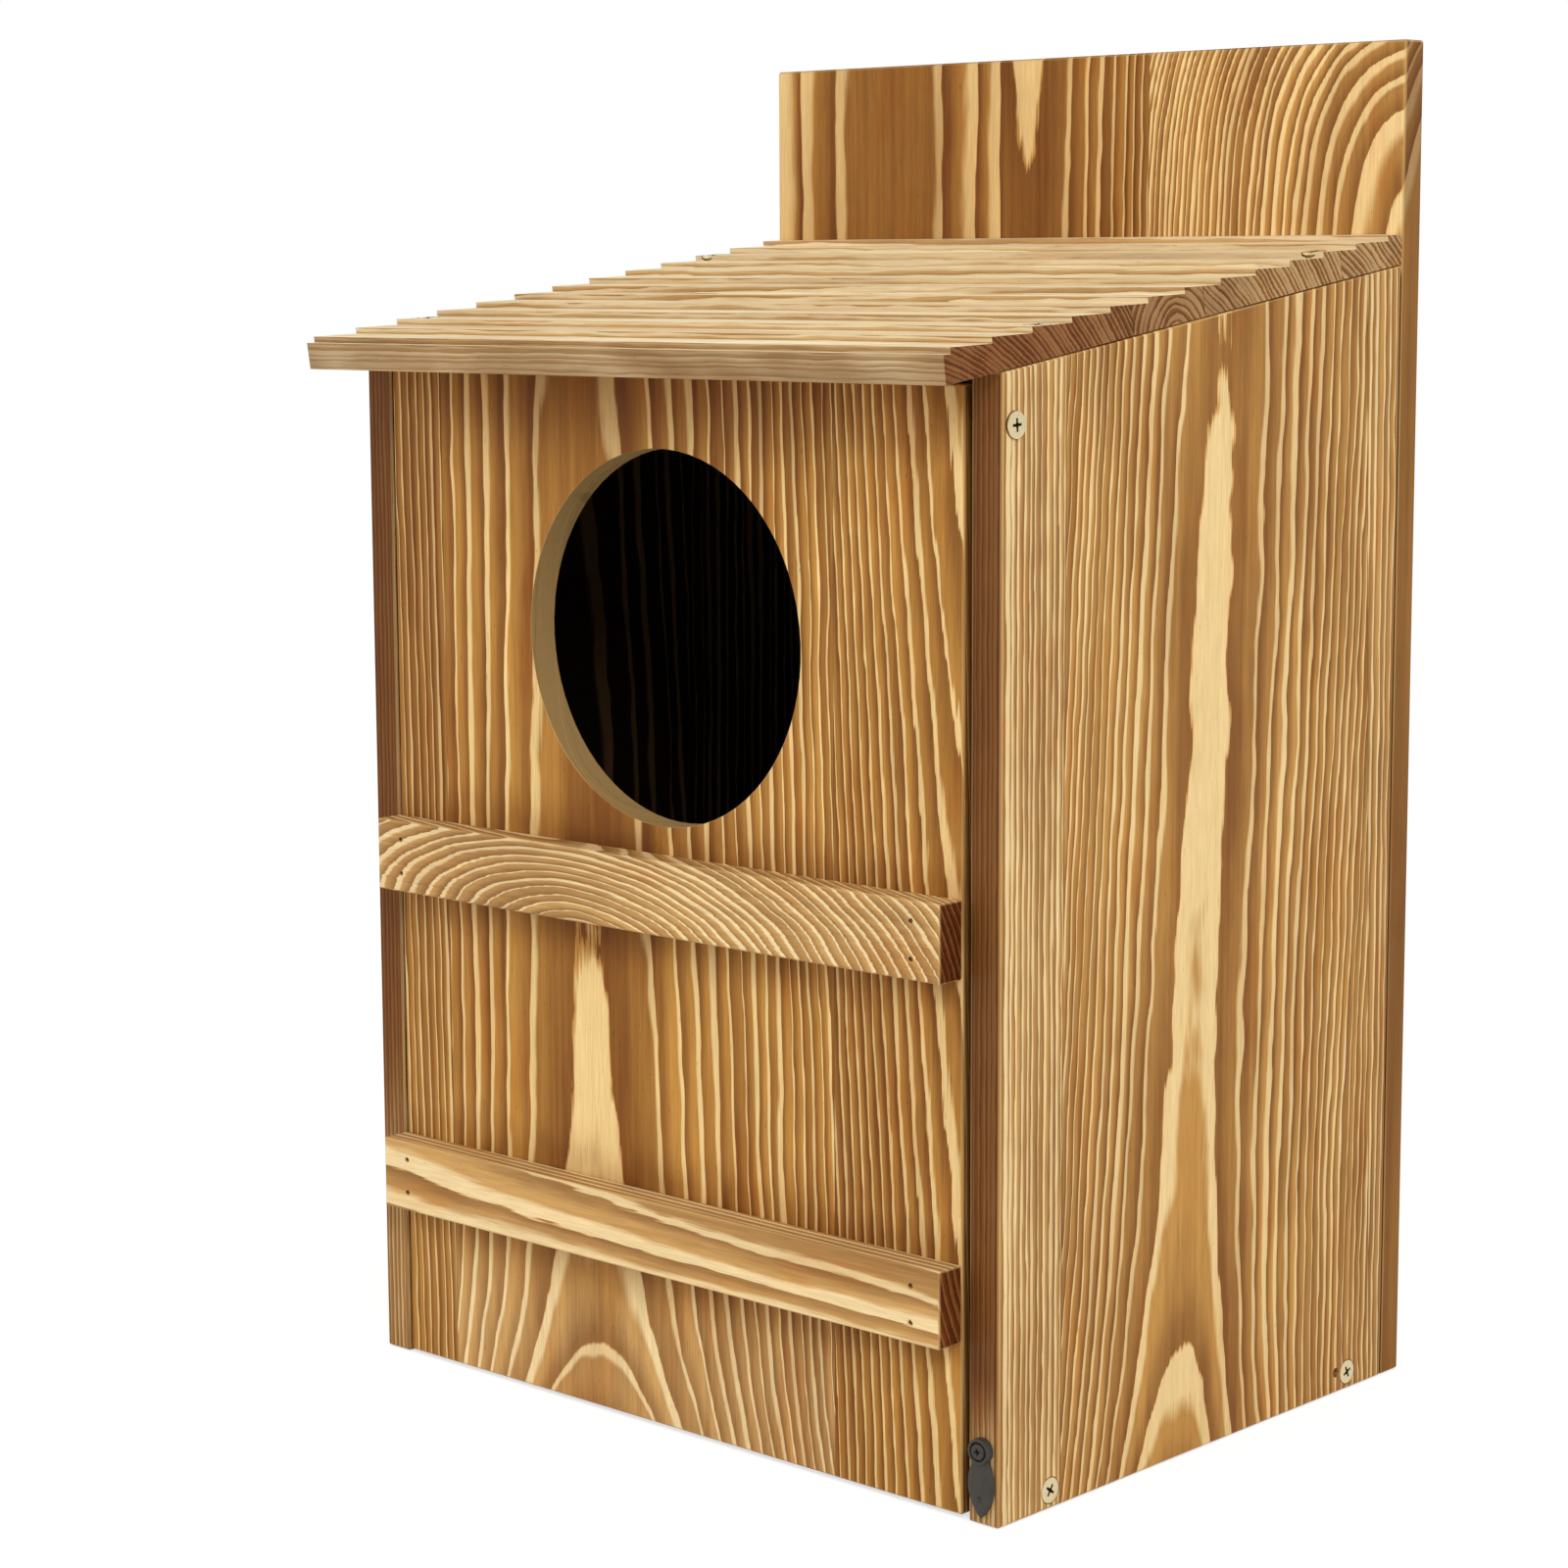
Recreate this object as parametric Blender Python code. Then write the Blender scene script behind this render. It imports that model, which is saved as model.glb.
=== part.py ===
"""Owl nest box: a torched pine box with a stepped lean-to roof and a front that opens.

The box stands on its base at z = 0, faces -Y and is centred on the origin in X and Y.
The front is a door. It hangs between the sides on two pivot screws near its top, swings
out at the bottom, and is held shut by a turn button on the right side panel's front edge.
All sizes are in metres.
"""

import math

import bmesh
import bpy
from mathutils import Matrix, Vector

# Carcass: two side panels, a floor between them and a tall back panel behind them
BOX_WIDTH = 0.290
SIDE_DEPTH = 0.213
SIDE_FRONT_HEIGHT = 0.360
SIDE_THICKNESS = 0.012
FLOOR_THICKNESS = 0.012
BACK_THICKNESS = 0.011
TAB_RISE = 0.0753
BOARD_ROUNDING = 0.0008

# Gap between pieces that touch, and how far a cutting shape runs past what it cuts
FIT_GAP = 0.0003
CUT_OVERRUN = 0.004

# Roof: one board with a sawtooth of lapped steps on top, bevelled to meet the back panel
ROOF_SLOPE = math.radians(8.2)
ROOF_THICKNESS = 0.0108
ROOF_OVERHANG = 0.0259
STEP_PITCH = 0.0192
STEP_HEIGHT = 0.0020
FIRST_STEP_SETBACK = 0.0034

# Door: it fills the front between the sides, with a wider gap at its right edge
DOOR_THICKNESS = 0.011
DOOR_LEFT_GAP = 0.0012
DOOR_RIGHT_GAP = 0.0028
DOOR_FOOT_GAP = 0.0010
DOOR_TOP_GAP = 0.0040
PIVOT_DROP = 0.0160
PIVOT_SETBACK = 0.0060
HOLE_DIAMETER = 0.125
HOLE_DROP = 0.090
HOLE_SIDES = 72

# Battens nailed across the door
BATTEN_HEIGHT = 0.0252
BATTEN_THICKNESS = 0.0108
BATTEN_ROUNDING = 0.0006
UPPER_BATTEN_DROP = 0.0092
LOWER_BATTEN_FOOT = 0.0572
BRAD_DIAMETER = 0.0012
BRAD_LENGTH = 0.0180
BRAD_SINK = 0.0008
BRAD_END_INSET = 0.0120
BRAD_SPACING = 0.0120
BRAD_SIDES = 8

# Countersunk wood screws
SCREW_HEAD_DIAMETER = 0.0084
SCREW_HEAD_DEPTH = 0.0026
SCREW_HEAD_RIM = 0.0005
SCREW_DIAMETER = 0.0036
SCREW_POINT = 0.0050
SCREW_SIDES = 16
PIVOT_SCREW_LENGTH = 0.035
PIVOT_HEAD_PROUD = 0.0009
FLOOR_SCREW_LENGTH = 0.035
FLOOR_SCREW_FRONT_INSET = 0.026
FLOOR_SCREW_REAR_INSET = 0.021
ROOF_SCREW_LENGTH = 0.035
ROOF_SCREW_FRONT_INSET = 0.025
ROOF_SCREW_REAR_INSET = 0.042
BACK_SCREW_LENGTH = 0.035
BACK_SCREW_LOW = 0.060
BACK_SCREW_TOP_INSET = 0.060
BACK_SCREWS_PER_SIDE = 3
BACK_FLOOR_SCREW_INSET = 0.060

# Drain holes in the floor
DRAIN_HOLE_DIAMETER = 0.008
DRAIN_HOLE_INSET = 0.040
DRAIN_HOLE_SIDES = 16

# Unused pilot hole beside the right side panel's rear floor screw
SPARE_PILOT_DIAMETER = 0.0035
SPARE_PILOT_DEPTH = 0.0060
SPARE_PILOT_SHIFT = 0.0068
SPARE_PILOT_LIFT = 0.0012

# Turn button: a leaf between two arcs, hanging from a cupped boss on a small screw
LATCH_HEIGHT = 0.0245
LATCH_REACH = 0.0220
LATCH_WIDTH = 0.0103
LATCH_THICKNESS = 0.0012
LATCH_LIFT = 0.0003
LATCH_BOSS_DIAMETER = 0.0083
LATCH_BOSS_HEIGHT = 0.0026
LATCH_BOSS_ROUNDING = 0.0004
LATCH_CUP_DEPTH = 0.0010
LATCH_DIMPLE_DIAMETER = 0.0016
LATCH_DIMPLE_HEIGHT = 0.0090
LATCH_ARC_STEPS = 12
LATCH_BOSS_SIDES = 28
LATCH_SCREW_HEAD_DIAMETER = 0.0054
LATCH_SCREW_HEAD_HEIGHT = 0.0014
LATCH_SCREW_DIAMETER = 0.0024
LATCH_SCREW_LENGTH = 0.0160
LATCH_SCREW_POINT = 0.0030

# Places that several pieces share
ROOF_ROOT = ROOF_THICKNESS - STEP_HEIGHT
TREAD_FALL = STEP_HEIGHT / STEP_PITCH
ROOF_FRONT_FACE = ROOF_ROOT + TREAD_FALL * FIRST_STEP_SETBACK
ROOF_REACH = ROOF_OVERHANG + ROOF_FRONT_FACE * math.sin(ROOF_SLOPE)
FRONT_Y = (ROOF_REACH - SIDE_DEPTH - BACK_THICKNESS) / 2
BACK_Y = FRONT_Y + SIDE_DEPTH
REAR_Y = BACK_Y + BACK_THICKNESS
OUTER_X = BOX_WIDTH / 2
INNER_X = OUTER_X - SIDE_THICKNESS
EDGE_X = OUTER_X - SIDE_THICKNESS / 2
DOOR_LEFT = DOOR_LEFT_GAP - INNER_X
DOOR_RIGHT = INNER_X - DOOR_RIGHT_GAP
DOOR_TOP = SIDE_FRONT_HEIGHT - DOOR_TOP_GAP
DOOR_BACK_Y = FRONT_Y + DOOR_THICKNESS
HOLE_Z = SIDE_FRONT_HEIGHT - HOLE_DROP
PIVOT_Y = FRONT_Y + PIVOT_SETBACK
PIVOT_Z = SIDE_FRONT_HEIGHT - PIVOT_DROP
LATCH_SEAT_Y = FRONT_Y - FIT_GAP

# Finishes: torching leaves the boards different browns
DOOR_PINE = (0.46, 0.23, 0.07)
SIDE_PINE = (0.53, 0.30, 0.11)
BACK_PINE = (0.45, 0.23, 0.08)
ROOF_PINE = (0.61, 0.42, 0.21)
BATTEN_PINE = (0.48, 0.25, 0.09)
FLOOR_PINE = (0.50, 0.31, 0.14)
YELLOW_ZINC = (0.60, 0.50, 0.30)
BRAD_STEEL = (0.10, 0.07, 0.05)
BLACK_LACQUER = (0.02, 0.02, 0.02)


def side_top(depth):
    """Height of the side panels' sloped top edge, this far behind their front edge."""
    return SIDE_FRONT_HEIGHT + depth * math.tan(ROOF_SLOPE)


def finish(obj, colour, roughness, metallic=0.0):
    """Give a piece a material of its own."""
    material = bpy.data.materials.new(obj.name + "_finish")
    material.use_nodes = True
    shader = material.node_tree.nodes["Principled BSDF"]
    shader.inputs["Base Color"].default_value = (*colour, 1.0)
    shader.inputs["Roughness"].default_value = roughness
    shader.inputs["Metallic"].default_value = metallic
    obj.data.materials.append(material)


def add_object(name, bm, place=None, parent=None):
    """Turn a bmesh into an object at a place in the world, keeping it there under its parent."""
    bmesh.ops.recalc_face_normals(bm, faces=bm.faces)
    mesh = bpy.data.meshes.new(name)
    bm.to_mesh(mesh)
    bm.free()
    obj = bpy.data.objects.new(name, mesh)
    bpy.context.scene.collection.objects.link(obj)
    world = place or Matrix.Identity(4)
    if parent:
        obj.parent = parent
        world = Matrix.Translation(-parent.location) @ world
    obj.matrix_basis = world
    return obj


def add_pivot(name, place):
    """An empty on a joint's axis, which carries the pieces that turn about it."""
    pivot = bpy.data.objects.new(name, None)
    pivot.location = place
    bpy.context.scene.collection.objects.link(pivot)
    return pivot


def round_edges(obj, width):
    """Ease a board's arrises, as sanding leaves them."""
    bevel = obj.modifiers.new("eased_edges", "BEVEL")
    bevel.width = width
    bevel.segments = 2
    bevel.limit_method = "ANGLE"
    bevel.angle_limit = math.radians(40)


def smooth(obj, angle=math.radians(35)):
    """Shade a round piece smooth, with sharp edges kept."""
    obj.data.shade_smooth()
    obj.data.set_sharp_from_angle(angle=angle)


def cut(obj, cutter):
    """Cut one piece with the hidden shape of another."""
    boolean = obj.modifiers.new("cut_" + cutter.name, "BOOLEAN")
    boolean.operation = "DIFFERENCE"
    boolean.solver = "EXACT"
    boolean.object = cutter


def hide(cutter):
    """Mark a cutting shape, which isn't part of the box."""
    cutter.hide_render = True
    cutter.display_type = "WIRE"
    return cutter


def extruded(outline, direction):
    """A closed solid: a flat outline pushed along a direction."""
    bm = bmesh.new()
    face = bm.faces.new([bm.verts.new(point) for point in outline])
    pushed = bmesh.ops.extrude_face_region(bm, geom=[face])
    verts = [item for item in pushed["geom"] if isinstance(item, bmesh.types.BMVert)]
    bmesh.ops.translate(bm, verts=verts, vec=direction)
    return bm


def plank(low, high):
    """A square-cut board between two corners."""
    corners = [(low[0], low[1]), (high[0], low[1]), (high[0], high[1]), (low[0], high[1])]
    return extruded([(x, y, low[2]) for x, y in corners], (0, 0, high[2] - low[2]))


def turned(profile, sides):
    """A closed solid turned about Z, from (radius, height) points between two axis points."""
    bm = bmesh.new()
    start = math.pi / sides
    across, along = math.cos(start), math.sin(start)
    verts = [bm.verts.new((radius * across, radius * along, height)) for radius, height in profile]
    edges = [bm.edges.new(pair) for pair in zip(verts, verts[1:])]
    bmesh.ops.spin(
        bm, geom=verts + edges, cent=(0, 0, 0), axis=(0, 0, 1), angle=math.tau, steps=sides, use_merge=True
    )
    bmesh.ops.remove_doubles(bm, verts=bm.verts, dist=FIT_GAP / 100)
    return bm


def screw_profile(length, spare=0.0):
    """Countersunk screw, head's top at z = 0 and point downwards.

    With spare, the hole that holds the screw with that gap all round, open above the head."""
    head = SCREW_HEAD_DIAMETER / 2 + spare
    shank = SCREW_DIAMETER / 2 + spare
    mouth = CUT_OVERRUN if spare else 0.0
    return [
        (0, mouth),
        (head, mouth),
        (head, -SCREW_HEAD_RIM - spare),
        (shank, -SCREW_HEAD_DEPTH - spare),
        (shank, SCREW_POINT - length),
        (0, -length - spare),
    ]


def latch_screw_profile(spare=0.0):
    """Small round-head screw, whose head stands in the boss's cup, above z = 0.

    With spare, the cup and the hole that hold it with that gap all round."""
    head = LATCH_SCREW_HEAD_DIAMETER / 2 + spare
    shank = LATCH_SCREW_DIAMETER / 2 + spare
    crown_share, shoulder_share = 0.75, 0.45
    if spare:
        top = [(0, CUT_OVERRUN), (head, CUT_OVERRUN)]
    else:
        top = [
            (0, LATCH_SCREW_HEAD_HEIGHT),
            (head * crown_share, LATCH_SCREW_HEAD_HEIGHT),
            (head, LATCH_SCREW_HEAD_HEIGHT * shoulder_share),
        ]
    return top + [
        (head, -spare),
        (shank, -spare),
        (shank, LATCH_SCREW_POINT - LATCH_SCREW_LENGTH),
        (0, -LATCH_SCREW_LENGTH - spare),
    ]


def brad_profile(spare=0.0):
    """Headless brad, driven a little below the batten's face at z = 0."""
    radius = BRAD_DIAMETER / 2 + spare
    top = CUT_OVERRUN if spare else -BRAD_SINK
    return [(0, top), (radius, top), (radius, -BRAD_LENGTH - spare), (0, -BRAD_LENGTH - spare)]


def pointing(place, direction):
    """Where a fastener lies: its head's seat, and the way its point is driven."""
    turn = Vector((0, 0, -1)).rotation_difference(Vector(direction))
    return Matrix.Translation(place) @ turn.to_matrix().to_4x4()


def add_turned(name, profile, sides, place, parent=None):
    """A turned piece or cutting shape, laid where it goes."""
    return add_object(name, turned(profile, sides), place, parent)


def add_screw(name, length, place, boards, parent=None):
    """A countersunk screw, and its hole in the boards that it joins."""
    screw = add_turned(name, screw_profile(length), SCREW_SIDES, place, parent)
    smooth(screw)
    finish(screw, YELLOW_ZINC, 0.35, 0.9)
    hole = hide(add_turned(name + "_hole", screw_profile(length, FIT_GAP), SCREW_SIDES, place))
    for board in boards:
        cut(board, hole)


def add_side_panel(name, side):
    """Side panel: a board with its top cut to the roof's slope."""
    rear_y = BACK_Y - FIT_GAP
    outline = [
        (side * INNER_X, FRONT_Y, 0),
        (side * INNER_X, rear_y, 0),
        (side * INNER_X, rear_y, side_top(rear_y - FRONT_Y)),
        (side * INNER_X, FRONT_Y, side_top(0)),
    ]
    panel = add_object(name, extruded(outline, (side * SIDE_THICKNESS, 0, 0)))
    round_edges(panel, BOARD_ROUNDING)
    finish(panel, SIDE_PINE, 0.55)
    return panel


def add_back_panel():
    """Back panel: it covers the sides' rear edges and stands up past the roof as a fixing tab."""
    top = side_top(SIDE_DEPTH) + TAB_RISE
    panel = add_object("back_panel", plank((-OUTER_X, BACK_Y, 0), (OUTER_X, REAR_Y, top)))
    round_edges(panel, BOARD_ROUNDING)
    finish(panel, BACK_PINE, 0.55)
    return panel


def add_floor_panel():
    """Floor: it sits between the sides, behind the door, with a drain hole near each corner."""
    low = Vector((FIT_GAP - INNER_X, DOOR_BACK_Y + FIT_GAP, 0))
    high = Vector((INNER_X - FIT_GAP, BACK_Y - FIT_GAP, FLOOR_THICKNESS))
    panel = add_object("floor_panel", plank(low, high))
    round_edges(panel, BOARD_ROUNDING)
    finish(panel, FLOOR_PINE, 0.6)
    radius, length = DRAIN_HOLE_DIAMETER / 2, FLOOR_THICKNESS + 2 * CUT_OVERRUN
    column = [(0, length), (radius, length), (radius, 0), (0, 0)]
    for x in (low.x + DRAIN_HOLE_INSET, high.x - DRAIN_HOLE_INSET):
        for y in (low.y + DRAIN_HOLE_INSET, high.y - DRAIN_HOLE_INSET):
            place = Matrix.Translation((x, y, -CUT_OVERRUN))
            cut(panel, hide(add_turned("drain_hole", column, DRAIN_HOLE_SIDES, place)))
    return panel


def roof_length(height):
    """How long the roof board is, along its slope, this far above its underside."""
    level = SIDE_DEPTH + ROOF_OVERHANG - FIT_GAP
    return (level + height * math.sin(ROOF_SLOPE)) / math.cos(ROOF_SLOPE)


def step_count():
    """Steps that fit on the roof. The last may be short, but longer than it is high."""
    return int((roof_length(0) - FIRST_STEP_SETBACK - STEP_HEIGHT) / STEP_PITCH) + 1


def tread_height(along):
    """Height of the stepped top above the roof's underside, this far up its slope."""
    past_riser = (along - FIRST_STEP_SETBACK) % STEP_PITCH
    return ROOF_THICKNESS - TREAD_FALL * past_riser


def roof_place():
    """The roof's underside at its front edge, turned to the slope."""
    rise = FIT_GAP / math.cos(ROOF_SLOPE)
    corner = (0, FRONT_Y - ROOF_OVERHANG, side_top(-ROOF_OVERHANG) + rise)
    return Matrix.Translation(corner) @ Matrix.Rotation(ROOF_SLOPE, 4, "X")


def add_roof_board():
    """Roof board: a sawtooth outline pushed from side to side, then laid on the sides."""
    risers = [FIRST_STEP_SETBACK + i * STEP_PITCH for i in range(step_count())]
    lean = math.tan(ROOF_SLOPE)
    rear_top = (ROOF_THICKNESS - TREAD_FALL * (roof_length(0) - risers[-1])) / (1 + TREAD_FALL * lean)
    outline = [(roof_length(0), 0), (0, 0), (0, ROOF_FRONT_FACE)]
    for riser in risers:
        outline += [(riser, ROOF_ROOT), (riser, ROOF_THICKNESS)]
    outline.append((roof_length(rear_top), rear_top))
    solid = extruded([(-OUTER_X, along, height) for along, height in outline], (BOX_WIDTH, 0, 0))
    roof = add_object("roof_board", solid, roof_place())
    finish(roof, ROOF_PINE, 0.55)
    return roof


def add_door_panel(pivot):
    """Door: a board between the sides with the round entrance hole."""
    low = (DOOR_LEFT, FRONT_Y, DOOR_FOOT_GAP)
    high = (DOOR_RIGHT, DOOR_BACK_Y, DOOR_TOP)
    door = add_object("door_panel", plank(low, high), parent=pivot)
    round_edges(door, BOARD_ROUNDING)
    finish(door, DOOR_PINE, 0.55)
    radius = HOLE_DIAMETER / 2
    length = DOOR_THICKNESS + 2 * CUT_OVERRUN
    place = pointing((0, FRONT_Y - CUT_OVERRUN, HOLE_Z), (0, 1, 0))
    column = [(0, 0), (radius, 0), (radius, -length), (0, -length)]
    cut(door, hide(add_turned("entrance_hole", column, HOLE_SIDES, place)))
    return door


def add_batten(name, foot, door, pivot):
    """Batten: a square strip as long as the door is wide, with two brads at each end."""
    back_y = FRONT_Y - FIT_GAP
    face_y = back_y - BATTEN_THICKNESS
    low = (DOOR_LEFT, face_y, foot)
    batten = add_object(name, plank(low, (DOOR_RIGHT, back_y, foot + BATTEN_HEIGHT)), parent=pivot)
    round_edges(batten, BATTEN_ROUNDING)
    finish(batten, BATTEN_PINE, 0.55)
    middle = foot + BATTEN_HEIGHT / 2
    rows = {"low": middle - BRAD_SPACING / 2, "high": middle + BRAD_SPACING / 2}
    ends = {"left": DOOR_LEFT + BRAD_END_INSET, "right": DOOR_RIGHT - BRAD_END_INSET}
    for end, x in ends.items():
        for row, z in rows.items():
            place = pointing((x, face_y, z), (0, 1, 0))
            brad_name = f"{name}_brad_{end}_{row}"
            brad = add_turned(brad_name, brad_profile(), BRAD_SIDES, place, pivot)
            finish(brad, BRAD_STEEL, 0.5, 0.6)
            hole = hide(add_turned(brad_name + "_hole", brad_profile(FIT_GAP), BRAD_SIDES, place))
            cut(batten, hole)
            cut(door, hole)


def leaf_outline():
    """The turn button's leaf: two equal arcs that meet in a point at each end."""
    half_length, half_width = LATCH_REACH / 2, LATCH_WIDTH / 2
    radius = (half_length**2 + half_width**2) / (2 * half_width)
    span = math.asin(half_length / radius)
    points = []
    for side in (1, -1):
        for i in range(LATCH_ARC_STEPS):
            angle = side * span * (1 - 2 * i / LATCH_ARC_STEPS)
            across = side * (radius * math.cos(angle) - radius + half_width)
            points.append((across, -LATCH_LIFT, radius * math.sin(angle) - half_length))
    return points


def add_latch(pivot, side_panel):
    """Turn button: leaf and boss in one casting, on a small screw. Only the boss touches the panel."""
    leaf = extruded(leaf_outline(), (0, -LATCH_THICKNESS, 0))
    plate = add_object("latch_plate", leaf, Matrix.Translation(pivot.location), pivot)
    radius = LATCH_BOSS_DIAMETER / 2
    shoulder = LATCH_BOSS_HEIGHT - LATCH_BOSS_ROUNDING
    column = [(0, LATCH_BOSS_HEIGHT), (radius - LATCH_BOSS_ROUNDING, LATCH_BOSS_HEIGHT)]
    column += [(radius, shoulder), (radius, 0), (0, 0)]
    driven = (0, 1, 0)
    seat = pointing(pivot.location, driven)
    boss = hide(add_turned("latch_boss", column, LATCH_BOSS_SIDES, seat, pivot))
    join = plate.modifiers.new("boss", "BOOLEAN")
    join.operation = "UNION"
    join.solver = "EXACT"
    join.object = boss
    finish(plate, BLACK_LACQUER, 0.45, 0.5)

    dimple = LATCH_DIMPLE_DIAMETER / 2
    cone = [(0, CUT_OVERRUN), (dimple, CUT_OVERRUN), (dimple, 0), (0, -LATCH_THICKNESS / 2)]
    spot = Vector((pivot.location.x, LATCH_SEAT_Y - LATCH_LIFT - LATCH_THICKNESS, LATCH_DIMPLE_HEIGHT))
    cut(plate, hide(add_turned("latch_dimple", cone, BRAD_SIDES, pointing(spot, driven), pivot)))

    cup_floor = pivot.location - Vector((0, LATCH_BOSS_HEIGHT - LATCH_CUP_DEPTH, 0))
    top = pointing(cup_floor, driven)
    screw = add_turned("latch_screw", latch_screw_profile(), SCREW_SIDES, top)
    smooth(screw)
    finish(screw, BLACK_LACQUER, 0.4, 0.5)
    hole = hide(add_turned("latch_screw_hole", latch_screw_profile(FIT_GAP), SCREW_SIDES, top))
    cut(plate, hole)
    cut(side_panel, hole)


def add_spare_pilot(side_panel):
    """The blind hole that was drilled beside the rear floor screw and not used."""
    radius = SPARE_PILOT_DIAMETER / 2
    depth = SPARE_PILOT_DEPTH
    column = [(0, CUT_OVERRUN), (radius, CUT_OVERRUN), (radius, -depth), (0, -depth)]
    y = BACK_Y - FLOOR_SCREW_REAR_INSET - SPARE_PILOT_SHIFT
    place = pointing((OUTER_X, y, FLOOR_THICKNESS / 2 + SPARE_PILOT_LIFT), (-1, 0, 0))
    cut(side_panel, hide(add_turned("spare_pilot_hole", column, BRAD_SIDES * 2, place)))


def build():
    """Put the whole box together."""
    for obj in list(bpy.data.objects):
        bpy.data.objects.remove(obj)

    sides = {
        "left": add_side_panel("left_side_panel", -1),
        "right": add_side_panel("right_side_panel", 1),
    }
    back = add_back_panel()
    floor = add_floor_panel()
    roof = add_roof_board()

    door_pivot = add_pivot("door_pivot", (0, PIVOT_Y, PIVOT_Z))
    door = add_door_panel(door_pivot)
    upper_foot = HOLE_Z - HOLE_DIAMETER / 2 - UPPER_BATTEN_DROP - BATTEN_HEIGHT
    add_batten("upper_batten", upper_foot, door, door_pivot)
    add_batten("lower_batten", LOWER_BATTEN_FOOT, door, door_pivot)

    roof_turn = math.cos(ROOF_SLOPE)
    roof_rows = {
        "front": (ROOF_OVERHANG + ROOF_SCREW_FRONT_INSET) / roof_turn,
        "rear": (ROOF_OVERHANG + SIDE_DEPTH - ROOF_SCREW_REAR_INSET) / roof_turn,
    }
    floor_rows = {"front": FRONT_Y + FLOOR_SCREW_FRONT_INSET, "rear": BACK_Y - FLOOR_SCREW_REAR_INSET}
    back_rise = side_top(SIDE_DEPTH) - BACK_SCREW_TOP_INSET - BACK_SCREW_LOW
    down_slope = roof_place().to_3x3() @ Vector((0, 0, -1))

    for hand, sign in (("left", -1), ("right", 1)):
        panel = sides[hand]
        inward = (-sign, 0, 0)
        place = pointing((sign * (OUTER_X + PIVOT_HEAD_PROUD), PIVOT_Y, PIVOT_Z), inward)
        add_screw(f"pivot_screw_{hand}", PIVOT_SCREW_LENGTH, place, [panel, door], door_pivot)

        for row, y in floor_rows.items():
            place = pointing((sign * OUTER_X, y, FLOOR_THICKNESS / 2), inward)
            add_screw(f"floor_screw_{hand}_{row}", FLOOR_SCREW_LENGTH, place, [panel, floor])

        for row, along in roof_rows.items():
            top = roof_place() @ Vector((sign * EDGE_X, along, tread_height(along)))
            place = pointing(top, down_slope)
            add_screw(f"roof_screw_{hand}_{row}", ROOF_SCREW_LENGTH, place, [roof, panel])

        for i in range(BACK_SCREWS_PER_SIDE):
            z = BACK_SCREW_LOW + back_rise * i / (BACK_SCREWS_PER_SIDE - 1)
            place = pointing((sign * EDGE_X, REAR_Y, z), (0, -1, 0))
            add_screw(f"back_screw_{hand}_{i + 1}", BACK_SCREW_LENGTH, place, [back, panel])

        x = sign * (INNER_X - BACK_FLOOR_SCREW_INSET)
        place = pointing((x, REAR_Y, FLOOR_THICKNESS / 2), (0, -1, 0))
        add_screw(f"back_floor_screw_{hand}", BACK_SCREW_LENGTH, place, [back, floor])

    add_spare_pilot(sides["right"])
    add_latch(add_pivot("latch_pivot", (EDGE_X, LATCH_SEAT_Y, LATCH_HEIGHT)), sides["right"])


build()
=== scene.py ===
"""Owl nest box of torched pine: its finishes and hardware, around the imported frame.

The sections follow the box as it goes together: sides, back, floor, roof, door and battens,
then brads, screws and the turn button. Lengths are in metres.
"""

import math

import bmesh
import bpy
from mathutils import Euler, Matrix, Vector


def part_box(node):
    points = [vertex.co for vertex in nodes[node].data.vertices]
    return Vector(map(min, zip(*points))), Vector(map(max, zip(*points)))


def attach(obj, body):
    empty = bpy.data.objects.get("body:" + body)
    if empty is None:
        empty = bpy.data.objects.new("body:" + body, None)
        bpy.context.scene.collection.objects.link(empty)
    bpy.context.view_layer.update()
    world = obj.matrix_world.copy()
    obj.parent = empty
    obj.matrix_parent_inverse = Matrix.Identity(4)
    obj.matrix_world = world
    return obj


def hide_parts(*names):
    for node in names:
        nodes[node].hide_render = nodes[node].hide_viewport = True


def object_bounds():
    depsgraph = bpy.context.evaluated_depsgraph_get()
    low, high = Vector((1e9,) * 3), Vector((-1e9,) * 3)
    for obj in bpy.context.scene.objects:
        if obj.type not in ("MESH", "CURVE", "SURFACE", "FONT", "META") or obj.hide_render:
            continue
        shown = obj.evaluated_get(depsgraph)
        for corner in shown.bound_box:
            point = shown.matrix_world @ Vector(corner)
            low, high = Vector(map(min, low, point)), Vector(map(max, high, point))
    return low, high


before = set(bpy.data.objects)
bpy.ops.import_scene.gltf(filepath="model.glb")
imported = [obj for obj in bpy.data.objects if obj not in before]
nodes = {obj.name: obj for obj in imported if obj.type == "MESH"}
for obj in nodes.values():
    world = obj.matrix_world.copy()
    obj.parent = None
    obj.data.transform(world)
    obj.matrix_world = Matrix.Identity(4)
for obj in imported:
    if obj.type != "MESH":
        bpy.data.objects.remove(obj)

cad_low, cad_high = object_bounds()
bpy.ops.object.select_all(action="DESELECT")
bpy.context.scene.view_settings.view_transform = "Standard"


# Camera
# It stands off the box's front right corner, at about the height of the roof, and looks a
# little down. The long lens keeps the upright edges nearly parallel.
EYE = Vector((0.8325, -0.9321, 0.3934))
LENS = 82.5
SENSOR_WIDTH = 36.0
EYE_YAW, EYE_PITCH, EYE_ROLL = 43.0, 8.3, -0.28

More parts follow.
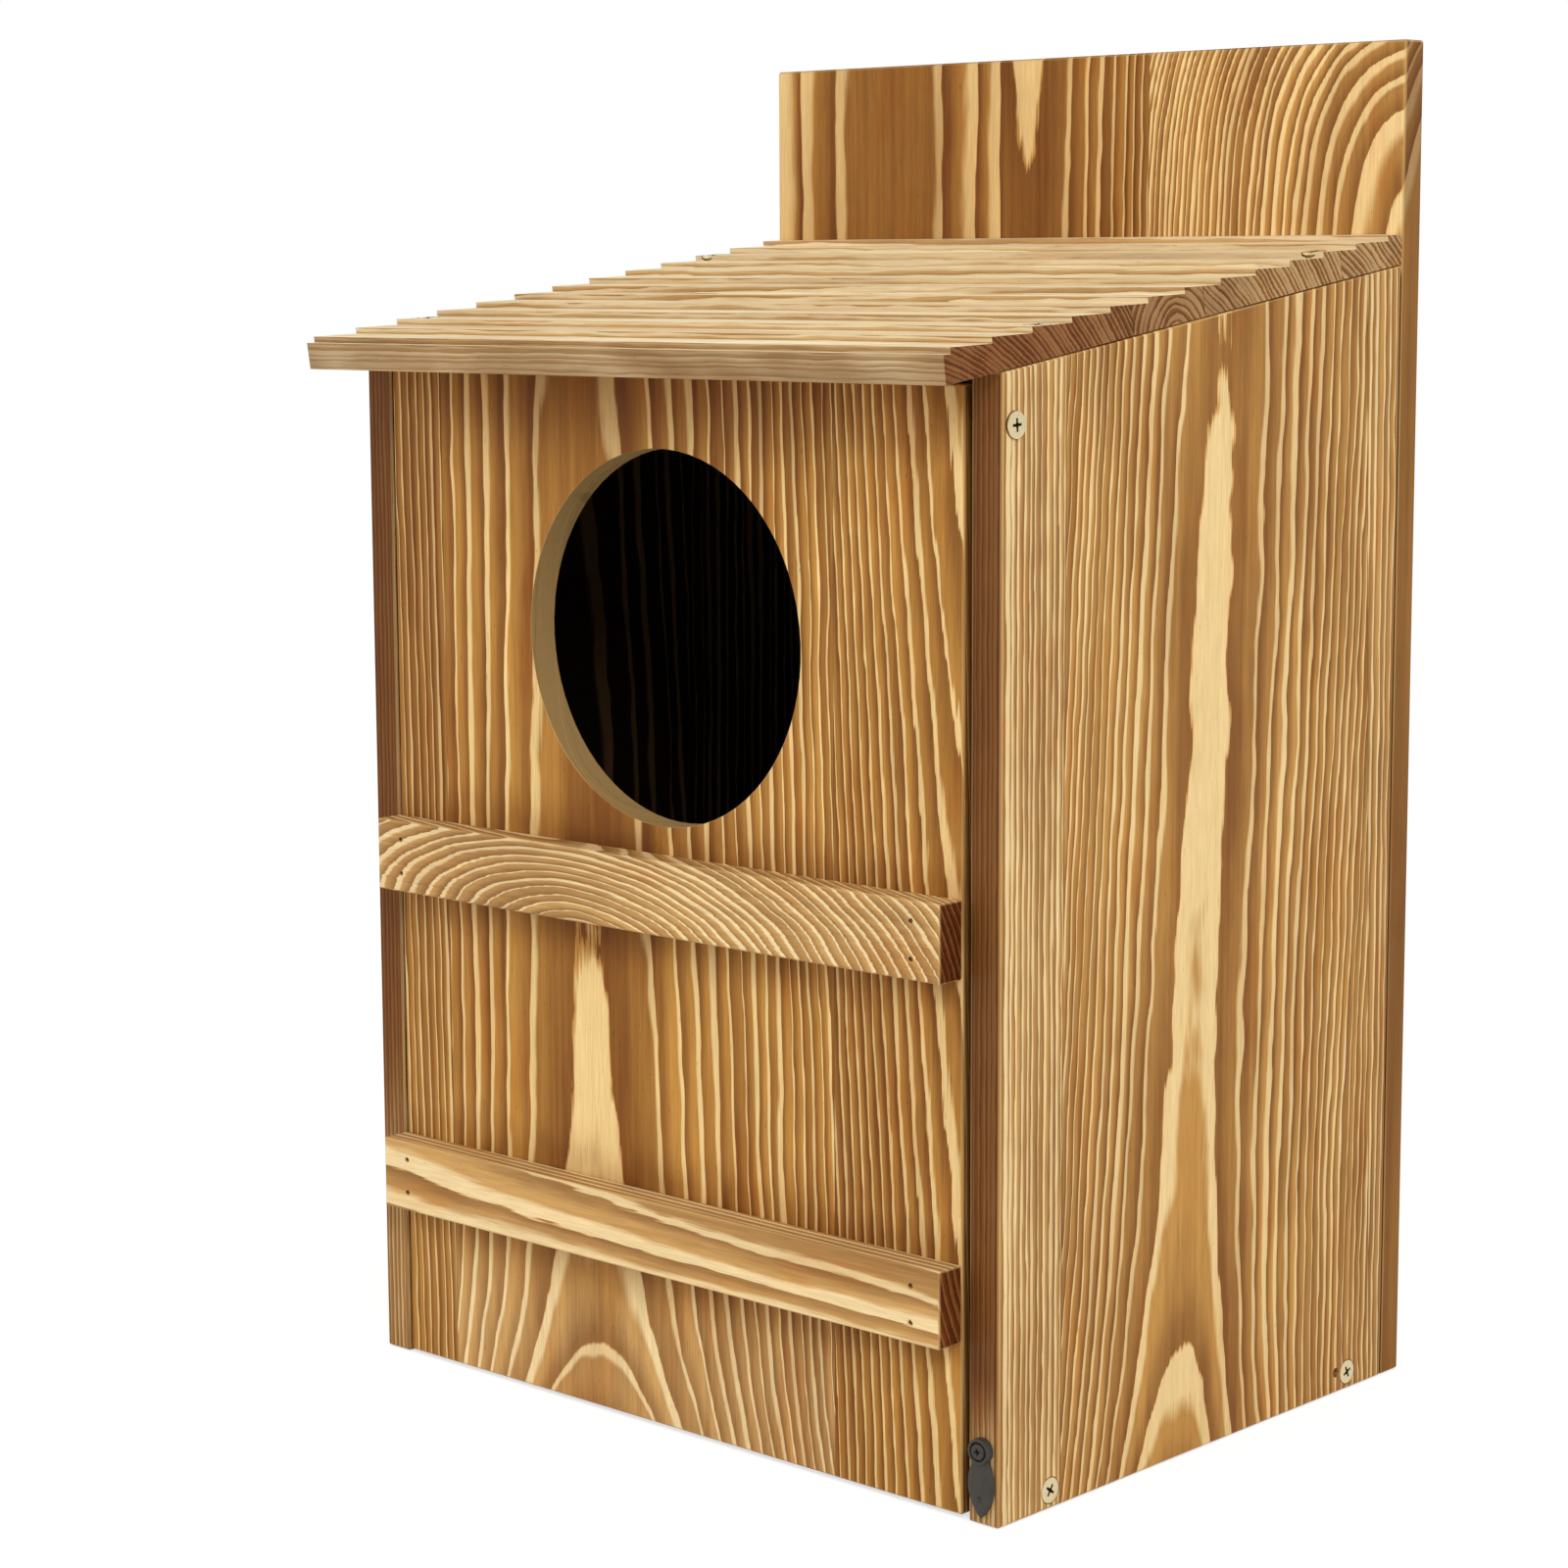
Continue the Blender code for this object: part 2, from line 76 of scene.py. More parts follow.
camera_data = bpy.data.cameras.new("camera")
camera_data.lens = LENS
camera_data.sensor_width = SENSOR_WIDTH
camera = bpy.data.objects.new("camera", camera_data)
camera.matrix_world = (
    Matrix.Translation(EYE)
    @ Matrix.Rotation(math.radians(EYE_YAW), 4, "Z")
    @ Matrix.Rotation(math.radians(90 - EYE_PITCH), 4, "X")
    @ Matrix.Rotation(math.radians(EYE_ROLL), 4, "Z")
)
bpy.context.scene.collection.objects.link(camera)
bpy.context.scene.camera = camera


# Floor and light
# A white studio table under a soft white sky, with one broad lamp over the right shoulder
# and a weaker one from the left. The table takes the box's shadow.
FLOOR_REACH = 6.0
FLOOR_DROP = 0.0004
FLOOR_GLOW = 0.67
FLOOR_PAINT = (0.50, 0.50, 0.50, 1)
FLOOR_WHITE = (0.80, 0.80, 0.80, 1)
SKY_STRENGTH = 0.66
LAMPS = {
    "right_lamp": {"place": (2.0, -1.5, 2.1), "size": 1.3, "power": 38.5},
    "left_lamp": {"place": (-1.6, -1.9, 1.1), "size": 1.6, "power": 12.0},
}


def plug(tree, value, socket):
    """Link a socket to another one, or set its value."""
    if isinstance(value, bpy.types.NodeSocket):
        tree.links.new(value, socket)
    else:
        socket.default_value = value


def shader_node(tree, kind, inputs=None, **settings):
    """Add a shader node, with its settings and what goes into its sockets."""
    node = tree.nodes.new("ShaderNode" + kind)
    for name, value in settings.items():
        setattr(node, name, value)
    for name, value in (inputs or {}).items():
        plug(tree, value, node.inputs[name])
    return node


def maths(tree, operation, *values):
    """One sum on plain values."""
    node = shader_node(tree, "Math", operation=operation)
    for socket, value in zip(node.inputs, values):
        plug(tree, value, socket)
    return node.outputs["Value"]


def new_finish(name):
    """A new material and its tree of nodes."""
    material = bpy.data.materials.new(name)
    material.use_nodes = True
    return material, material.node_tree


def seen_directly(tree):
    """Whether a ray comes from the camera, or by way of metal or glass."""
    path = shader_node(tree, "LightPath")
    direct = maths(tree, "MAXIMUM", path.outputs["Is Camera Ray"], path.outputs["Is Glossy Ray"])
    return maths(tree, "MAXIMUM", direct, path.outputs["Is Transmission Ray"])


bpy.ops.mesh.primitive_plane_add(size=FLOOR_REACH, location=(0, 0, cad_low.z - FLOOR_DROP))
table = bpy.context.object
table.name = "studio_table"
table_finish, tree = new_finish("studio_table")
paint = shader_node(tree, "BsdfDiffuse", {"Color": FLOOR_PAINT})
glow = shader_node(tree, "Emission", {"Strength": FLOOR_GLOW})
lit = shader_node(tree, "AddShader")
tree.links.new(paint.outputs[0], lit.inputs[0])
tree.links.new(glow.outputs[0], lit.inputs[1])
table_white = shader_node(tree, "BsdfDiffuse", {"Color": FLOOR_WHITE})
table_mix = shader_node(tree, "MixShader", {"Fac": seen_directly(tree)})
tree.links.new(table_white.outputs[0], table_mix.inputs[1])
tree.links.new(lit.outputs[0], table_mix.inputs[2])
tree.links.new(table_mix.outputs[0], tree.nodes["Material Output"].inputs["Surface"])
table.data.materials.append(table_finish)

sky = bpy.data.worlds.new("soft_white")
sky.use_nodes = True
tree = sky.node_tree
strength = maths(tree, "MULTIPLY_ADD", seen_directly(tree), 1 - SKY_STRENGTH, SKY_STRENGTH)
plug(tree, (1, 1, 1, 1), tree.nodes["Background"].inputs["Color"])
plug(tree, strength, tree.nodes["Background"].inputs["Strength"])
bpy.context.scene.world = sky

box_middle = (cad_low + cad_high) / 2
for name, lamp in LAMPS.items():
    light = bpy.data.lights.new(name, "AREA")
    light.energy = lamp["power"]
    light.size = lamp["size"]
    holder = bpy.data.objects.new(name, light)
    holder.location = lamp["place"]
    holder.rotation_euler = (box_middle - Vector(lamp["place"])).to_track_quat("-Z", "Y").to_euler()
    bpy.context.scene.collection.objects.link(holder)


# Right side panel
# A 12 mm board glued up from three staves of pine, torched and brushed, so that the hard
# growth lines stand pale out of the browned wood. Its inner face is painted nearly black as
# painted shade for the dark inside of the box, and less dark where the door's edge covers it.
QUARTER = math.radians(90)
BROWN = (0.215, 0.073, 0.011, 1)
GOLDEN = (0.560, 0.270, 0.054, 1)
CREAM = (0.890, 0.625, 0.270, 1)
PALE_BROWN = (0.530, 0.310, 0.115, 1)
PALE_GOLDEN = (0.800, 0.560, 0.265, 1)
PALE_CREAM = (0.980, 0.860, 0.580, 1)
WORN = (0.640, 0.400, 0.150, 1)
TOAST_AND_SHADE = (0.40, 0.26, 0.16, 1)
EDGE_TOAST_AND_SHADE = (0.28, 0.17, 0.09, 1)
END_TOAST = (0.24, 0.095, 0.030, 1)
BLUSH = (0.98, 0.88, 0.78, 1)
# Painted shade for the inside of the box: nearly black, fading in from a less dark strip behind the
# door's edge.
SHADE_BLACK = (0.010, 0.0045, 0.0025, 1)
INSIDE_SHADE_FADE = 0.002
INSIDE_SHADE = 0.96
GAP_SHADE = 0.68
GLUE_LINE = 0.0004
GRAIN_RELIEF = 0.00018
RELIEF_STRENGTH = 0.7
PINE_SHEEN = 0.12
ARRIS = 0.0005
ARRIS_ANGLE = math.radians(30)
WELD_WITHIN = 0.00001
TURNED_FROM, TURNED_FULLY = 0.5, 0.9

# How large the marks in the wood are: across the board, into it and along its grain.
SLOW_WAVE = (0.020, 0.020, 0.055)
RIPPLE = (0.007, 0.007, 0.022)
RAGGED_EDGE = (0.0009, 0.0009, 0.016)
RAGGED_BY = 0.0007
LINE_SWELL = (0.010, 0.010, 0.080)
CLOUD = (0.040, 0.040, 0.14)
STREAK = (0.0025, 0.0025, 0.10)
FIBRE = (0.0004, 0.0004, 0.012)
FLECK = (0.0007, 0.0007, 0.0045)
BLUSH_PATCH = (0.016, 0.016, 0.050)

# Where the Mix node has its two inputs and its output, for each kind of value.
MIX_SOCKETS = {"FLOAT": (2, 3, 0), "VECTOR": (4, 5, 1), "RGBA": (6, 7, 2)}


def vectors(tree, operation, *values):
    """One sum on vectors."""
    node = shader_node(tree, "VectorMath", operation=operation)
    for socket, value in zip(node.inputs, values):
        plug(tree, value, socket)
    return node.outputs["Value" if operation in ("LENGTH", "DOT_PRODUCT") else "Vector"]


def split(tree, vector):
    """A vector's three parts."""
    return shader_node(tree, "SeparateXYZ", {"Vector": vector}).outputs


def mixed(tree, share, first, second, blend="MIX", kind="RGBA"):
    """Two colours or values, mixed or multiplied."""
    node = shader_node(tree, "Mix", data_type=kind, blend_type=blend)
    first_socket, second_socket, result = MIX_SOCKETS[kind]
    for socket, value in ((0, share), (first_socket, first), (second_socket, second)):
        plug(tree, value, node.inputs[socket])
    return node.outputs[result]


def smooth_step(tree, value, start, end, low=0.0, high=1.0):
    """A smooth rise between two values."""
    places = {"Value": value, "From Min": start, "From Max": end, "To Min": low, "To Max": high}
    return shader_node(tree, "MapRange", places, interpolation_type="SMOOTHSTEP").outputs["Result"]


def turned(tree, part, low=0.0, high=1.0, way=1):
    """A rise where a face is turned squarely one way, from that part of its normal."""
    return smooth_step(tree, part, way * TURNED_FROM, way * TURNED_FULLY, low, high)


def clouded(tree, point, spacing, seed=(0.0, 0.0, 0.0), detail=2.0):
    """Soft noise around zero, with spots of a given size each way."""
    scaled = vectors(tree, "DIVIDE", point, spacing)
    place = vectors(tree, "ADD", scaled, seed)
    noise = shader_node(tree, "TexNoise", {"Vector": place, "Scale": 1.0, "Detail": detail})
    return maths(tree, "SUBTRACT", noise.outputs["Fac"], 0.5)


def relief(tree, height, depth, strength):
    """The normal of a surface with fine bumps of a given depth."""
    inputs = {"Height": height, "Distance": depth, "Strength": strength}
    return shader_node(tree, "Bump", inputs).outputs[0]


def set_finish(tree, values):
    """Set what goes into a material's own shader."""
    for name, value in values.items():
        plug(tree, value, tree.nodes["Principled BSDF"].inputs[name])


def shader_group(name, inputs, outputs):
    """A new node group with named sockets: its tree, what goes in and what comes out."""
    group = bpy.data.node_groups.new(name, "ShaderNodeTree")
    kinds = {1: "NodeSocketFloat", 3: "NodeSocketVector", 4: "NodeSocketColor"}
    for socket, value in inputs.items():
        kind = kinds[len(value) if isinstance(value, tuple) else 1]
        made = group.interface.new_socket(socket, in_out="INPUT", socket_type=kind)
        made.default_value = value
    for socket, size in outputs.items():
        group.interface.new_socket(socket, in_out="OUTPUT", socket_type=kinds[size])
    given = group.nodes.new("NodeGroupInput").outputs
    gives = group.nodes.new("NodeGroupOutput").inputs
    return group, given, gives


def stave(pith, lean=(0, 0), sweep=0.0, flare=0.0, flare_reach=0.03, lopsided=0.0, ring_width=1.0,
          heart=1.0, offset=0.0, share=0.25, unevenness=0.8, waviness=0.004, seed=0.0, paleness=0.0):
    """How a stave was sawn from its tree, and how that tree grew.

    The pith lies some way across and in from the face. It leans, sweeps, and near the foot of
    the board flares towards the face. A tree with a heart adds the same area of wood each year,
    and a lopsided one adds more of it on one side."""
    return {
        "Pith": (*pith, 0.0),
        "Lean": (*lean, 0.0),
        "Sweep": sweep,
        "Flare": flare,
        "Flare Reach": flare_reach,
        "Lopsided": lopsided,
        "Ring Width": ring_width,
        "Heart": heart,
        "Ring Offset": offset,
        "Line Share": share,
        "Unevenness": unevenness,
        "Waviness": waviness,
        "Seed": seed,
        "Paleness": paleness,
    }


# Growth rings round the pith. Each ring runs from dark wood through golden wood to a pale
# line with a sharp outer edge, and its line widens and narrows along the grain.
tree, given, gives = shader_group(
    "growth_rings",
    {"Point": (0.0, 0.0, 0.0), **stave((0.0, 0.03))},
    {"Line": 1, "Gold": 1, "Tone": 1},
)
growth_rings = tree
along = split(tree, given["Point"])["Z"]
foot = maths(tree, "DIVIDE", maths(tree, "MULTIPLY", along, -1.0), given["Flare Reach"])
foot = maths(tree, "EXPONENT", foot)
bend = maths(tree, "MULTIPLY", maths(tree, "MULTIPLY", along, along), given["Sweep"])
bend = maths(tree, "SUBTRACT", bend, maths(tree, "MULTIPLY", foot, given["Flare"]))
pith = vectors(tree, "MULTIPLY_ADD", given["Lean"], along, given["Pith"])
pith = vectors(tree, "ADD", pith, shader_node(tree, "CombineXYZ", {"Y": bend}).outputs[0])
away = vectors(tree, "MULTIPLY", vectors(tree, "SUBTRACT", given["Point"], pith), (1, 1, 0))
wave = clouded(tree, given["Point"], SLOW_WAVE, given["Seed"])
ripple = clouded(tree, given["Point"], RIPPLE, given["Seed"], 1.0)
wave = maths(tree, "MULTIPLY_ADD", ripple, 0.5, wave)
ragged = clouded(tree, given["Point"], RAGGED_EDGE, given["Seed"], 1.5)
uneven = maths(tree, "MULTIPLY", split(tree, away)["X"], given["Lopsided"])
radius = maths(tree, "SUBTRACT", vectors(tree, "LENGTH", away), uneven)
radius = maths(tree, "MULTIPLY_ADD", wave, given["Waviness"], radius)
radius = maths(tree, "MULTIPLY_ADD", ragged, RAGGED_BY, radius)
years = maths(tree, "DIVIDE", radius, given["Heart"])
years = maths(tree, "MULTIPLY", years, years)
years = maths(tree, "ADD", years, maths(tree, "DIVIDE", radius, given["Ring Width"]))
seasons = {"W": maths(tree, "ADD", years, given["Seed"]), "Scale": 0.45, "Detail": 1.0}
season = shader_node(tree, "TexNoise", seasons, noise_dimensions="1D")
years = maths(tree, "ADD", years, given["Ring Offset"])
season = maths(tree, "SUBTRACT", season.outputs["Fac"], 0.5)
years = maths(tree, "MULTIPLY_ADD", season, given["Unevenness"], years)
part = maths(tree, "FRACT", years)
year = maths(tree, "ADD", maths(tree, "FLOOR", years), given["Seed"])
chance = shader_node(tree, "TexWhiteNoise", {"W": year}, noise_dimensions="1D")
tones = split(tree, chance.outputs["Color"])
swell = clouded(tree, given["Point"], LINE_SWELL, given["Seed"], 1.0)
share = maths(tree, "MULTIPLY", given["Line Share"], maths(tree, "ADD", tones["X"], 0.45))
share = maths(tree, "MULTIPLY", share, maths(tree, "MULTIPLY_ADD", swell, 1.3, 1.0))
line_start = maths(tree, "SUBTRACT", 0.99, share)
line_full = maths(tree, "MULTIPLY_ADD", share, 0.3, line_start)
rise = smooth_step(tree, part, maths(tree, "MULTIPLY_ADD", share, -0.25, line_start), line_full)
fall = smooth_step(tree, part, 1.0, 0.965)
plug(tree, maths(tree, "MULTIPLY", rise, fall), gives["Line"])
plug(tree, smooth_step(tree, part, 0.0, maths(tree, "MULTIPLY", line_start, 0.8)), gives["Gold"])
plug(tree, tones["Y"], gives["Tone"])

# What torching and brushing make of the rings: browns, golds and creams, darker on the
# boards' edges, darkest on end grain and worn pale on the arrises, with fine fibres.
tree, given, gives = shader_group(
    "torched_grain",
    {
        "Point": (0.0, 0.0, 0.0), "Facing": (0.0, 0.0, 0.0), "Line": 0.0, "Gold": 0.0, "Tone": 0.0,
        "Paleness": 0.0, "Edge Burn": 0.5, "End Burn": 0.8, "Darkening": 0.0, "Glue": 0.0, "Seed": 0.0,
    },
    {"Color": 4, "Roughness": 1, "Height": 1},
)
torched_grain = tree
clouds = clouded(tree, given["Point"], CLOUD, given["Seed"])
streaks = clouded(tree, given["Point"], STREAK, given["Seed"])
fibres = clouded(tree, given["Point"], FIBRE, given["Seed"], 3.0)
flecks = clouded(tree, given["Point"], FLECK, given["Seed"], 1.0)
looks = split(tree, vectors(tree, "ABSOLUTE", given["Facing"]))
edge = maths(tree, "MULTIPLY", turned(tree, looks["X"]), given["Edge Burn"])
end = maths(tree, "MULTIPLY", turned(tree, looks["Z"]), given["End Burn"])
squarest = maths(tree, "MAXIMUM", maths(tree, "MAXIMUM", looks["X"], looks["Y"]), looks["Z"])
arris = smooth_step(tree, squarest, 0.97, 0.93)
paleness = maths(tree, "MULTIPLY", given["Paleness"], turned(tree, looks["Z"], 1.0, 0.15))
toned = maths(tree, "MULTIPLY_ADD", given["Tone"], 0.65, 0.35)
warmth = maths(tree, "MULTIPLY_ADD", maths(tree, "MULTIPLY", given["Gold"], toned), 0.85, 0.10)
warmth = maths(tree, "MULTIPLY_ADD", clouds, 1.1, warmth)
warmth = maths(tree, "MULTIPLY_ADD", streaks, 0.5, warmth)
warmth = shader_node(tree, "Clamp", {"Value": warmth}).outputs[0]
brown = mixed(tree, paleness, BROWN, PALE_BROWN)
golden = mixed(tree, paleness, GOLDEN, PALE_GOLDEN)
cream = mixed(tree, paleness, CREAM, PALE_CREAM)
ground = mixed(tree, warmth, brown, golden)
bright = maths(tree, "MULTIPLY_ADD", given["Tone"], 0.25, 0.75)
bright = maths(tree, "MULTIPLY_ADD", edge, -0.55, maths(tree, "ADD", bright, clouds))
pale = maths(tree, "MULTIPLY", given["Line"], bright)
pale = shader_node(tree, "Clamp", {"Value": pale}).outputs[0]
colour = mixed(tree, pale, ground, cream)
shade = maths(tree, "MULTIPLY_ADD", fibres, 0.60, 1.0)
shade = maths(tree, "MULTIPLY_ADD", streaks, 0.25, shade)
shade = maths(tree, "MULTIPLY", shade, maths(tree, "MULTIPLY_ADD", given["Glue"], -0.35, 1.0))
shade = maths(tree, "MULTIPLY", shade, smooth_step(tree, flecks, 0.24, 0.30, 1.0, 0.62))
tint = shader_node(tree, "CombineColor", {"Red": shade, "Green": shade, "Blue": shade}).outputs[0]
colour = mixed(tree, 1.0, colour, tint, "MULTIPLY")
# Edges are toasted darker. On the roof's step risers this darkening is partly painted shade.
colour = mixed(tree, edge, colour, EDGE_TOAST_AND_SHADE, "MULTIPLY")
colour = mixed(tree, end, colour, END_TOAST, "MULTIPLY")
patches = clouded(tree, given["Point"], BLUSH_PATCH, given["Seed"])
patches = smooth_step(tree, patches, 0.02, 0.20)
patches = maths(tree, "MULTIPLY", patches, maths(tree, "MULTIPLY_ADD", pale, -0.6, 1.0))
colour = mixed(tree, patches, colour, BLUSH, "MULTIPLY")
worn = maths(tree, "MULTIPLY", arris, maths(tree, "MULTIPLY_ADD", clouds, 1.2, 0.30))
colour = mixed(tree, shader_node(tree, "Clamp", {"Value": worn}).outputs[0], colour, WORN)
# The darkening input carries toast from the torch and painted shade alike: it multiplies in a toasted
# brown, and where it is strong it paints the wood nearly black as painted shade.
toast_and_shade = smooth_step(tree, given["Darkening"], 0.0, 0.5)
toast_and_shade = maths(tree, "MULTIPLY", toast_and_shade, maths(tree, "MULTIPLY_ADD", pale, -0.35, 1.0))
colour = mixed(tree, toast_and_shade, colour, TOAST_AND_SHADE, "MULTIPLY")
blackening = maths(tree, "MULTIPLY", given["Darkening"], maths(tree, "MULTIPLY_ADD", given["Line"], -0.20, 1.0))
colour = mixed(tree, smooth_step(tree, blackening, 0.35, 0.95), colour, SHADE_BLACK)
plug(tree, colour, gives["Color"])
rough = maths(tree, "MULTIPLY_ADD", given["Line"], -0.14, 0.62)
plug(tree, maths(tree, "MULTIPLY_ADD", fibres, 0.2, rough), gives["Roughness"])
plug(tree, maths(tree, "MULTIPLY_ADD", fibres, 0.5, given["Line"]), gives["Height"])


def start_board(name, turn, origin):
    """A board's material, a point on it and the way it faces, in the board's own axes.

    They run across its width, in from its face and along its grain."""
    material, tree = new_finish(name)
    seen = shader_node(tree, "TexCoord").outputs
    start = -(Euler(turn).to_matrix() @ Vector(origin))
    laid = {"Vector": seen["Object"], "Location": start, "Rotation": turn}
    point = shader_node(tree, "Mapping", laid)
    faced = {"Vector": seen["Normal"], "Rotation": turn}
    facing = shader_node(tree, "Mapping", faced, vector_type="VECTOR")
    return material, point.outputs[0], facing.outputs[0]


def torch_board(material, point, facing, staves, joints=(), darkening=0.0, edge_darkening=0.6, end_burn=0.9):
    """Finish a board that is glued up from staves. A joint has a place across and a lean."""
    tree = material.node_tree
    parts = split(tree, point)
    chosen = dict(staves[0])
    glue = 0.0
    for (place, lean), following in zip(joints, staves[1:]):
        beyond = maths(tree, "MULTIPLY_ADD", parts["Z"], -lean, parts["X"])
        beyond = maths(tree, "SUBTRACT", beyond, place)
        past = maths(tree, "GREATER_THAN", beyond, 0.0)
        near = smooth_step(tree, maths(tree, "ABSOLUTE", beyond), GLUE_LINE, GLUE_LINE / 4)
        glue = maths(tree, "MAXIMUM", glue, near)
        for name, value in following.items():
            kind = "VECTOR" if isinstance(value, tuple) else "FLOAT"
            chosen[name] = mixed(tree, past, chosen[name], value, kind=kind)
    paleness = chosen.pop("Paleness")
    rings = tree.nodes.new("ShaderNodeGroup")
    rings.node_tree = growth_rings
    for name, value in {"Point": point, **chosen}.items():
        plug(tree, value, rings.inputs[name])
    grain = tree.nodes.new("ShaderNodeGroup")
    grain.node_tree = torched_grain
    surface = {name: rings.outputs[name] for name in ("Line", "Gold", "Tone")}
    surface.update({"Point": point, "Facing": facing, "Paleness": paleness, "Seed": chosen["Seed"]})
    surface.update({"Edge Burn": edge_darkening, "End Burn": end_burn, "Darkening": darkening, "Glue": glue})
    for name, value in surface.items():
        plug(tree, value, grain.inputs[name])
    set_finish(tree, {
        "Base Color": grain.outputs["Color"],
        "Roughness": grain.outputs["Roughness"],
        "Normal": relief(tree, grain.outputs["Height"], GRAIN_RELIEF, RELIEF_STRENGTH),
        "Specular IOR Level": PINE_SHEEN,
    })
    return grain


def dress(node, material):
    """Give a piece of the frame its finish."""
    nodes[node].data.materials.clear()
    nodes[node].data.materials.append(material)


def ease_arrises(node):
    """Take the sharpness off a board's corners, as brushing does."""
    welding = nodes[node].modifiers.new("joined_faces", "WELD")
    welding.merge_threshold = WELD_WITHIN
    easing = nodes[node].modifiers.new("eased_arrises", "BEVEL")
    easing.width = ARRIS
    easing.segments = 2
    easing.limit_method = "ANGLE"
    easing.angle_limit = ARRIS_ANGLE


side_low, side_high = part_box("right_side_panel")
side_pine, point, facing = start_board(
    "right_side_pine", (0, 0, -QUARTER), (side_high.x, side_low.y, side_low.z)
)
tree = side_pine.node_tree
door_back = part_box("door_panel")[1].y
# Painted shade: the inner face is painted nearly black for the shade inside the box, and less dark in
# the strip behind the door's edge.
inner_face = turned(tree, split(tree, facing)["Y"])
from_door = maths(tree, "SUBTRACT", split(tree, point)["X"], door_back - side_low.y)
inside_shading = smooth_step(tree, from_door, 0.0, INSIDE_SHADE_FADE, GAP_SHADE, INSIDE_SHADE)
torch_board(
    side_pine, point, facing,
    staves=[
        stave((0.180, 0.240), ring_width=0.00159, share=0.47, waviness=0.0010, seed=3.1, paleness=0.24),
        stave((0.0869, 0.0471), lean=(0.0537, -0.0604), sweep=0.1116, flare=0.0216, flare_reach=0.0695,
              lopsided=0.14, heart=0.0228, offset=-1.045, share=0.285, unevenness=0.15, waviness=0.0032,
              seed=727.2, paleness=0.10),
        stave((0.060, 0.030), ring_width=0.0035, share=0.42, waviness=0.003, seed=7.7, paleness=0.18),
    ],
    joints=[(0.031, 0.0), (0.2055, -0.034)],
    darkening=maths(tree, "MULTIPLY", inner_face, inside_shading),
    edge_darkening=smooth_step(tree, split(tree, point)["Z"], 0.015, 0.050, 0.25, 1.0),
)
dress("right_side_panel", side_pine)
ease_arrises("right_side_panel")


# Left side panel
# The right panel's fellow, 12 mm of pine glued up from three other staves, with the same
# torched outside and the same inner face painted nearly black as painted shade.
left_low, left_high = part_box("left_side_panel")
left_pine, point, facing = start_board(
    "left_side_pine", (0, 0, QUARTER), (left_low.x, left_high.y, left_low.z)
)
tree = left_pine.node_tree
# Painted shade: the inner face is painted nearly black for the shade inside the box, and less dark in
# the strip behind the door's edge.
inner_face = turned(tree, split(tree, facing)["Y"])
from_door = maths(tree, "SUBTRACT", left_high.y - door_back, split(tree, point)["X"])
inside_shading = smooth_step(tree, from_door, 0.0, INSIDE_SHADE_FADE, GAP_SHADE, INSIDE_SHADE)
torch_board(
    left_pine, point, facing,
    staves=[
        stave((0.190, 0.050), ring_width=0.0045, share=0.36, seed=11.3, paleness=0.25),
        stave((0.120, 0.032), lean=(0.04, 0.030), heart=0.028, offset=0.4, share=0.30, unevenness=0.5,
              seed=13.9, paleness=0.1),
        stave((0.040, 0.230), ring_width=0.0016, share=0.42, waviness=0.0010, seed=17.2, paleness=0.2),
    ],
    joints=[(0.064, 0.0), (0.176, 0.0)],
    darkening=maths(tree, "MULTIPLY", inner_face, inside_shading),
    edge_darkening=smooth_step(tree, split(tree, point)["Z"], 0.03, 0.12, 0.40, 1.0),
)
dress("left_side_panel", left_pine)
ease_arrises("left_side_panel")


# Back panel
# An 11 mm board glued up from wide staves. The part above the roof is torched like the
# outside. The part behind the nest chamber is painted nearly black as painted shade, like the
# sides' inner faces.
back_low, back_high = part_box("back_panel")
back_pine, point, facing = start_board("back_pine", (0, 0, 0), (0, back_low.y, back_low.z))
tree = back_pine.node_tree
chamber_top = side_high.z
TAB_TURN_DEPTH = 0.045
TAB_TURN_REACH = 0.050
BACK_INSIDE_SHADE = 0.97
BACK_INSIDE_SHADE_FADE = 0.006
BACK_JOINTS = (-0.031, 0.0368)
STAVE_BLEND = 0.001
tab_turn_in = TAB_TURN_DEPTH * math.exp((back_low.z - back_high.z) / TAB_TURN_REACH)
# Painted shade: the face inside the chamber is painted nearly black, fading out at the chamber's top.
front_face = turned(tree, split(tree, facing)["Y"], way=-1)
in_chamber = smooth_step(
    tree, split(tree, point)["Z"], chamber_top, chamber_top - BACK_INSIDE_SHADE_FADE, 0.0, BACK_INSIDE_SHADE
)
inside_shaded = maths(tree, "MULTIPLY", front_face, in_chamber)
past_joint = maths(tree, "SUBTRACT", split(tree, point)["X"], BACK_JOINTS[1])
left_smoked = smooth_step(tree, past_joint, -STAVE_BLEND, STAVE_BLEND, 0.20, 0.04)
torch_board(
    back_pine, point, facing,
    staves=[
        stave((-0.0850, 0.030), lopsided=-0.054, heart=0.0354, offset=0.656, share=0.40, unevenness=0.15,
              seed=688.8, paleness=0.0),
        stave((-0.019, 0.0271), lean=(0.0, -0.017), heart=0.0202, offset=0.0, share=0.30, unevenness=0.3,
              waviness=0.003, seed=22.0, paleness=0.0),
        stave((0.150, 0.0), flare=-tab_turn_in, flare_reach=-TAB_TURN_REACH, heart=0.02207,
              offset=0.302, share=0.36, unevenness=0.5, waviness=0.002, seed=23.4, paleness=0.10),
    ],
    joints=[(place, 0.0) for place in BACK_JOINTS],
    darkening=maths(tree, "MAXIMUM", inside_shaded, left_smoked),
    edge_darkening=0.65,
)
dress("back_panel", back_pine)
ease_arrises("back_panel")


